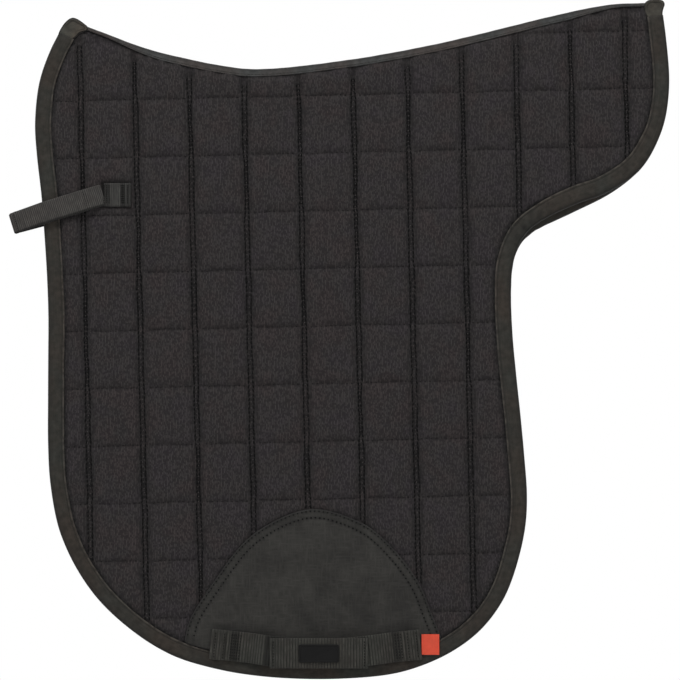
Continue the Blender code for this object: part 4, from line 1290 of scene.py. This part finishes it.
# The girth straps
# Ribbed webbing, folded double at its sewn end and tacked down, that rises off the patch to hold
# the loop. The ribs are woven across the webbing and are modelled one by one.
WEB_THICK = 1.6 * MM
WEB_HALF = WEB_THICK / 2
WEB_RELIEF = 0.1 * MM
GIRTH_WEB_WIDTH = 27.0 * MM
GIRTH_RIBS = (2.6 * MM, 0.22 * MM)
RIB_SHARPNESS = 0.7
RIB_BASE = 0.55
STRAP_TILT = math.radians(6.0)
STRAP_FOLD = 12.0 * MM
STRAP_TRIM = 0.4 * MM
STRAP_RAMP = 22.0 * MM
STRAP_LIFTED = 18.0 * MM
WEB_END = 0.8 * MM
UNDER_CLOSURE = 4.0 * MM
TACKED_BAND = (17.5 * MM, 24.0 * MM, 0.5)
CLOSURE_SHADOW = 0.7
TACK_FILL = 0.8
TACK_MARGINS = (1.6 * MM, 2.6 * MM)
STRAPS = (
    ("_girth_strap_front", -STRAP_TILT, (3.0, 11.0, 17.5, 19.5, 21.5, 23.5, 25.5)),
    ("_girth_strap_rear", math.pi + STRAP_TILT, (2.4, 10.4, 16.5, 19.0, 21.5)),
)


def on_strap(start, heading, along, aside):
    """The place, x and z, at a distance along a strap and to the left of its middle line."""
    c, s = math.cos(heading), math.sin(heading)
    return start[0] + along * c - aside * s, start[1] + along * s + aside * c


def ribbed(
    side, start, heading, path, width, ribs, thick=WEB_THICK, corner=0.6 * MM, edge_shade=0.0, bands=()
):
    """Ribbed webbing along a path of (distance, level) places, its middle line on start's heading.

    Ribs are given by pitch and relief. A band, (begin, finish, darkness), is dark between those
    distances along the webbing. An edge shade is painted shade along its lower side and its end.
    """
    rib, relief = ribs
    path = np.asarray(path, float)
    length = measured(path)[-1]
    at = np.linspace(0, length, max(3, round(length / (rib / 6)) + 1))
    path = places_at(at, path)
    normal = left_of(path)
    across = np.concatenate([[-0.5, -0.47, -0.42], np.linspace(-0.36, 0.36, 9), [0.42, 0.47, 0.5]])
    round_off = np.sqrt(np.clip(1 - np.clip((np.abs(across) - 0.44) / 0.065, 0, 1) ** 2, 0.12, 1))
    rows = []
    for k, (distance, level) in enumerate(path):
        ridge = abs(math.sin(math.pi * at[k] / rib)) ** RIB_SHARPNESS - RIB_BASE
        end = min(at[k], length - at[k])
        shut = math.sqrt(min(1.0, 0.15 + end / (0.5 * thick)))
        narrow = 1 - (corner / (0.5 * width)) * (1 - math.sqrt(min(1.0, end / corner)))
        ring = []
        for face in (1, -1):
            for share, rounding in zip(across[::face], round_off[::face]):
                half = (thick / 2 * rounding + relief * ridge * min(1.0, rounding)) * shut
                along = distance + normal[k][0] * half * face
                height = level + normal[k][1] * half * face
                x, z = on_strap(start, heading, along, share * width * narrow)
                ring.append((x, SIDES[side] * height, z))
        rows.append(ring)
    # Painted shade along the lower edge and at the end
    by_edge = edge_shade * ramp(across, 0.37, 0.42)
    at_end = 0.5 * edge_shade * ramp(at, length - 1.2 * MM, length)
    for begin, finish, darkness in bands:
        inside = ramp(path[:, 0], begin - 1.0 * MM, begin) * ramp(path[:, 0], finish + 1.0 * MM, finish)
        at_end = np.maximum(at_end, darkness * inside)
    return laid(rows, [np.maximum(np.concatenate([by_edge, by_edge[::-1]]), end) for end in at_end])


def climb(start, length, low, high):
    """A smooth rise from one level to another."""
    turns = np.linspace(0, math.pi, 13)
    return [(start + length * t / math.pi, low + (high - low) * (1 - math.cos(t)) / 2) for t in turns]


def doubled(tail, end, low, high):
    """Webbing from its tail in the upper layer to a half turn at its end, and on in the lower."""
    radius = (high - low) / 2
    turns = np.linspace(-math.pi / 2, math.pi / 2, 9)[1:-1]
    fold = [(end - radius * math.cos(t), (low + high) / 2 - radius * math.sin(t)) for t in turns]
    return [(tail, high), (end, high), *fold, (end, low)]


def layers(node):
    """The level at each face of a node, the inner one first."""
    low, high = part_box(node)
    return sorted((abs(low.y), abs(high.y)))


def slanted(node, heading, width, trim=0.0):
    """The root and length of a strap of known width and heading, from its box."""
    low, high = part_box(node)
    forward = np.array((math.cos(heading), math.sin(heading)))
    length = (high.x - low.x - width * abs(forward[1])) / abs(forward[0]) - trim
    return centre_of(node) - forward * length / 2, length


def tacks(name, side, start, heading, places, width, level, body=None, radius=0.45 * MM, pitch=2.6 * MM):
    """Rows of stitches across a strap at the given distances along it."""
    begin = np.arange(-width / 2 + TACK_MARGINS[0], width / 2 - TACK_MARGINS[1], pitch)
    along, across = (grid.ravel() for grid in np.meshgrid(places, begin, indexing="ij"))
    ends = [
        np.column_stack(on_strap(start, heading, along, aside))
        for aside in (across, across + TACK_FILL * pitch)
    ]
    levels = np.repeat(np.broadcast_to(level, len(places)), len(begin))
    return stitches(name, side, ends, levels, radius, web_thread, body)


webbing_weave = weave(
    "webbing", tone(63, 62, 58), tone(40, 39, 36), 0.9 * MM, rib=GIRTH_RIBS[0], depth=WEB_RELIEF
)
web_thread = thread("webbing thread", tone(14, 14, 13))
for side in SIDES:
    for part, heading, tack_rows in STRAPS:
        node = side + part
        inner, outer = layers(node)
        start, length = slanted(node, heading, GIRTH_WEB_WIDTH, STRAP_TRIM)
        base, raised = inner + WEB_HALF, outer - WEB_HALF
        second = base + WEB_THICK
        path = doubled(STRAP_FOLD, WEB_END, base, second)
        path += climb(length - STRAP_RAMP - STRAP_LIFTED, STRAP_RAMP, base, raised)
        path.append((length, raised))
        dark_bands = [TACKED_BAND]
        if part == "_girth_strap_front":
            # Painted shadow on the front strap's end, where it runs under the closure
            hidden_from = (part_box(side + "_girth_closure")[0].x - start[0]) / math.cos(heading)
            dark_bands.append((hidden_from - UNDER_CLOSURE, length, CLOSURE_SHADOW))
        mesh = ribbed(side, start, heading, path, GIRTH_WEB_WIDTH, GIRTH_RIBS, bands=dark_bands)
        add_piece(node + "_web", mesh, webbing_weave, side + "_half", node)
        places = np.array(tack_rows) * MM
        faces = np.where(places < STRAP_FOLD, second, base) + WEB_HALF + 0.05 * MM
        tacks(node + "_tacks", side, start, heading, places, GIRTH_WEB_WIDTH, faces)


# The girth closures
# The middle length of webbing, which peels open from its rear end on gripping tapes. Both its ends
# are hemmed by a row of stitches.
HEM = 3.2 * MM
CLOSURE_BOW = 0.12 * MM
for side in SIDES:
    node = side + "_girth_closure"
    body = side + "_closure"
    low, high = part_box(node)
    inner, outer = layers(node)
    length = high.x - low.x
    bow = [
        (d, (inner + outer) / 2 + CLOSURE_BOW * ripple(d, 61.0) * math.sin(math.pi * d / length))
        for d in np.linspace(0, length, 60)
    ]
    start = (low.x, (low.z + high.z) / 2)
    mesh = ribbed(side, start, 0.0, bow, GIRTH_WEB_WIDTH, GIRTH_RIBS)
    add_piece(node + "_web", mesh, webbing_weave, body, node)
    hems = (HEM, length - HEM)
    tacks(node + "_hems", side, start, 0.0, hems, GIRTH_WEB_WIDTH, outer + 0.03 * MM, body)


# The gripping tapes and the inner seam tape
# Hook and loop tapes under the closures and the tongues, and the tape that binds the seam inside
# the fold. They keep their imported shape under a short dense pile.
def pile(name, colour, scale):
    """Short stiff pile, like the face of a gripping tape."""
    made, tree, place = new_finish(name)
    tufts = add(tree, "TexVoronoi", {"Vector": place, "Scale": scale})
    relief = calc(tree, "SUBTRACT", noise(tree, place, 4 * scale), tufts)
    tufted = mixed(tree, tufts, shaded(colour, 1.5), shaded(colour, 0.5))
    return finished(made, tufted, 0.95, 0.2, (0.8, 0.4 * MM, relief))


grip_pile = pile("grip pile", tone(34, 34, 34), 1300.0)
seam_pile = pile("seam tape", tone(50, 48, 45), 2600.0)
for node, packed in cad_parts.items():
    if node.endswith(("hook_tape", "loop_tape", "seam_tape")):
        packed.data.materials.clear()
        packed.data.materials.append(seam_pile if node == "spine_seam_tape" else grip_pile)


# The badge
# A small moulded rubber badge on the near closure, left plain, with a low rim round a sunk field.
BADGE_CORNER = 1.5 * MM
BADGE_EDGE = 0.22 * MM
BADGE_CHAMFER = 0.2 * MM
BADGE_RIM = 1.1 * MM
BADGE_SLOPE = 0.25 * MM
BADGE_SUNK = 0.28 * MM


def rubber(name, colour):
    """Moulded rubber with a fine grain, scuffed a little glossier in places."""
    made, tree, place = new_finish(name)
    gloss = spread(tree, noise(tree, place, 120.0, 4.0), 0.3, 0.7, 0.55, 0.7)
    return finished(made, colour, gloss, 0.15, (0.15, 0.1 * MM, noise(tree, place, 900.0, 3.0)))


low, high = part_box("near_plain_badge")
size = high - low
bm = bmesh.new()
bmesh.ops.create_cube(bm, size=1.0)
bmesh.ops.scale(bm, vec=size, verts=bm.verts)
corners = [edge for edge in bm.edges if abs(edge.verts[0].co.y - edge.verts[1].co.y) > size.y / 2]
bmesh.ops.bevel(
    bm, geom=corners, offset=BADGE_CORNER, offset_type="OFFSET", affect="EDGES", segments=6, profile=0.5,
    material=-1,
)
front = min(bm.faces, key=lambda face: face.calc_center_median().y)
inset_face(bm, front, BADGE_EDGE)
outer_ring = [vert for vert in bm.verts if vert.co.y < 0 and vert not in set(front.verts)]
bmesh.ops.translate(bm, verts=outer_ring, vec=(0, BADGE_CHAMFER, 0))
inset_face(bm, front, BADGE_RIM)
inset_face(bm, front, BADGE_SLOPE, -BADGE_SUNK)
bmesh.ops.translate(bm, verts=bm.verts, vec=(low + high) / 2)
mesh = shaped(bm)
moulding = rubber("badge rubber", tone(11, 11, 11))
add_piece("near_badge_moulding", mesh, moulding, "near_closure", "near_plain_badge")
mesh.set_sharp_from_angle(angle=math.radians(35))


# The side label
# A plain red ribbon, folded double and sewn in behind the near loop.
LABEL_RIBS = (0.9 * MM, 0.03 * MM)
LABEL_END = 0.3 * MM
LABEL_SLACK = 0.05 * MM
label_weave = weave("red ribbon", tone(226, 86, 65), tone(212, 75, 56), 0.7 * MM, marked_dark=False, blots=0.05)
low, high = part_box("near_side_label")
inner, outer = layers("near_side_label")
ply = (high.y - low.y) / 2 - LABEL_SLACK
under, over = inner + ply / 2, outer - ply / 2
drop = high.z - low.z
path = [*doubled(drop, LABEL_END, under, over), (drop, under)]
start = ((low.x + high.x) / 2, low.z)
width = high.x - low.x
mesh = ribbed("near", start, math.pi / 2, path, width, LABEL_RIBS, thick=ply, corner=0.2 * MM)
add_piece("near_label_ribbon", mesh, label_weave, "near_half", "near_side_label")


# The anchors and the tongues
# Narrow webbing with fine ribs. Its end is folded double and sewn down through the quilting, and
# from there the tongue runs forwards and down past the pad's edge, where it grips the saddle.
TONGUE_WIDTH = 19.5 * MM
TONGUE_TILT = math.radians(17.0)
TONGUE_RAMP = 14.0 * MM
TONGUE_CORNER = 1.6 * MM
TONGUE_DROOP = {"near": 0.055, "off": -0.04}
DROOP_START = -190.0 * MM
FINE_RIBS = (1.7 * MM, 0.14 * MM)
ANCHOR_LENGTH = 23.6 * MM
ANCHOR_BANDS = (
    (-2.0 * MM, 2.6 * MM, 0.5),
    (4.6 * MM, 8.4 * MM, 0.6),
    (8.4 * MM, 19.0 * MM, 0.14),
    (19.0 * MM, 26.0 * MM, 0.5),
)
ANCHOR_TACKS = np.array((2.3, 5.8, 7.0, 8.2, 18.9, 21.2, 23.5)) * MM
tongue_weave = weave(
    "tongue webbing", tone(76, 74, 72), tone(53, 52, 51), 0.8 * MM, rib=FINE_RIBS[0], depth=WEB_RELIEF
)
for side in SIDES:
    node = side + "_billet_anchor"
    low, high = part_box(node)
    inner, outer = layers(node)
    width = high.z - low.z
    start = (high.x, (low.z + high.z) / 2)
    path = doubled(ANCHOR_LENGTH, WEB_END, inner + WEB_HALF, outer - WEB_HALF)
    path.append((ANCHOR_LENGTH, inner + WEB_HALF))
    mesh = ribbed(side, start, math.pi, path, width, FINE_RIBS, bands=ANCHOR_BANDS)
    add_piece(node + "_web", mesh, tongue_weave, side + "_half", node)
    heavy = {"radius": 0.55 * MM, "pitch": 1.9 * MM}
    level = outer + 0.05 * MM
    tacks(node + "_tacks", side, start, math.pi, ANCHOR_TACKS, width, level, **heavy)

    node = side + "_billet_tongue"
    body = side + "_billet"
    heading = math.pi + TONGUE_TILT
    start, length = slanted(node, heading, TONGUE_WIDTH)
    inner, outer = layers(node)
    path = climb(0.3 * MM, TONGUE_RAMP, inner + WEB_HALF, outer - WEB_HALF)
    path.append((length, outer - WEB_HALF))
    edge = {"corner": TONGUE_CORNER, "edge_shade": 0.75}
    mesh = ribbed(side, start, heading, path, TONGUE_WIDTH, FINE_RIBS, **edge)
    tongue = add_piece(node + "_web", mesh, tongue_weave, body, node)
    places = (TONGUE_RAMP + 1.0 * MM, TONGUE_RAMP + 3.0 * MM, length - 4.0 * MM)
    light = {"radius": 0.3 * MM, "pitch": 2.1 * MM}
    level = outer + 0.02 * MM
    seam = tacks(node + "_tacks", side, start, heading, places, TONGUE_WIDTH, level, body, **light)
    for bent in (tongue, seam):
        for vert in bent.data.vertices:
            vert.co.z -= TONGUE_DROOP[side] * max(0.0, DROOP_START - vert.co.x)

bpy.context.view_layer.update()
